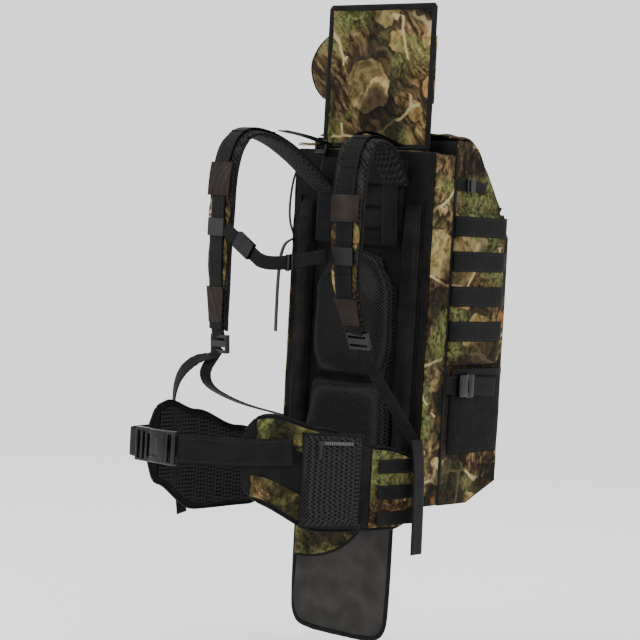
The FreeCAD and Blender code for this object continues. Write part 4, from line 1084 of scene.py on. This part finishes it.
def build_hip_pocket():
    third, second, first = Vector((74, -238, 0)), Vector((162, -121, 0)), Vector((178, -3, 0))
    run = (second - third).normalized()
    out = Vector((run.y, -run.x, 0))

    def pocket(u, v, off):
        here = third + run * mix(13, 125, u) + out * (7.6 + off)
        return here.x, here.y, mix(-27, 143, v)

    pad = cushion("hip_pocket_mesh", pocket, 21, MESH, "hip_right", "hip_pocket", fine=(36, 40))
    swell(pad, 3, -out)
    for name, z in (("top", 138), ("base", -22)):
        points = [third + run * s + out * off + UP * z for s, off in (
            (13, 10), (20, 19), (70, 19), (118, 19), (125, 10))]
        strip(f"hip_pocket_{name}_tape", points, 10, UP, TAPE, "hip_right", thick=2.2)
    run = (first - second).normalized()
    out = Vector((run.y, -run.x, 0))
    low, pitch, tall = -22, 47, 25
    for i in range(3):
        z = low + pitch * i + tall / 2
        nodes = ["hip_rows"] if i == 0 else []
        points = [second + run * s + out * off + UP * z for s, off in (
            (6, 9.8), (20, 11.2), (54, 11.6), (88, 11.2), (102, 9.8))]
        strip(f"hip_row_{i}", points, tall, UP, WEB, "hip_right", *nodes, thick=1.8)


def build_belt():
    near = [(81, -248, 106), (49, -284, 104), (17, -314, 102), (-30, -355, 102), (-72, -385, 102)]
    strip("belt_web_near", near, 50, UP, WEB, "hip_right", "hip_web_right", rounds=2, columns=10)
    far = [(-227, -262, 102), (-221, -328, 102), (-210, -374, 102), (-176, -386.5, 102)]
    strip("belt_web_far", far, 50, UP, WEB, "hip_left", "hip_web_left", rounds=2, columns=10)


def build_hip_buckle():
    """A 50 mm side-release buckle: a rounded female shell, two squeezed prongs, and bars for the webbing."""
    y, z = -386, 102
    made = bmesh.new()
    block(made, (38, 13, 60), (-118, y, z), bevel=3.2)
    block(made, (22, 15, 44), (-112, y, z), bevel=4.0)
    for x in (-96, -79):
        block(made, (7, 12, 60), (x, y, z), bevel=2.6)
    for side in (-1, 1):
        block(made, (26, 11, 6), (-88, y, z + side * 27.5), bevel=2.2)
        block(made, (18, 3, 5), (-124, y - 6.8, z + side * 18), bevel=1.0)
    piece("belt_buckle_female", made, ACETAL, "hip_right", "buckle_female")
    made = bmesh.new()
    for x in (-146, -158, -171):
        block(made, (6, 12, 60), (x, y, z), bevel=2.4)
    for side in (-1, 1):
        block(made, (32, 11, 6), (-158, y, z + side * 27.5), bevel=2.2)
        block(made, (16, 9, 11), (-139.5, y, z + side * 24.5), bevel=3.0)
    block(made, (30, 4, 9), (-130, y, z), bevel=1.4)
    piece("belt_buckle_male", made, ACETAL, "hip_left", "buckle_male")


# ---------------------------------------------------------------- the CAD's own hard parts


def finish_hard_parts():
    """Mouldings, zips and the stiffening keep their CAD shape and take their finishes."""
    finishes = {
        ACETAL: ("chest_buckle_female", "chest_buckle_male", "chest_sliders",
                 "strap_locks", "lid_catches", "front_zip_slider", "hip_zip_slider"),
        COIL: ("front_zip", "hip_zip"),
        HDPE: ("frame_sheet",),
        STAY: ("frame_stays",),
        BLACK: ("sleeve_cover",)}
    for finish, names in finishes.items():
        for name in names:
            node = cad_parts[name]
            node.data.materials.clear()
            node.data.materials.append(finish)


build_camera()
build_studio()
build_hood()
build_stock_flap()
build_panel()
build_bag()
build_collar()
build_lid()
build_sides()
build_straps()
build_side_straps()
build_chest_strap()
build_wings()
build_hip_pocket()
build_belt()
build_hip_buckle()
finish_hard_parts()
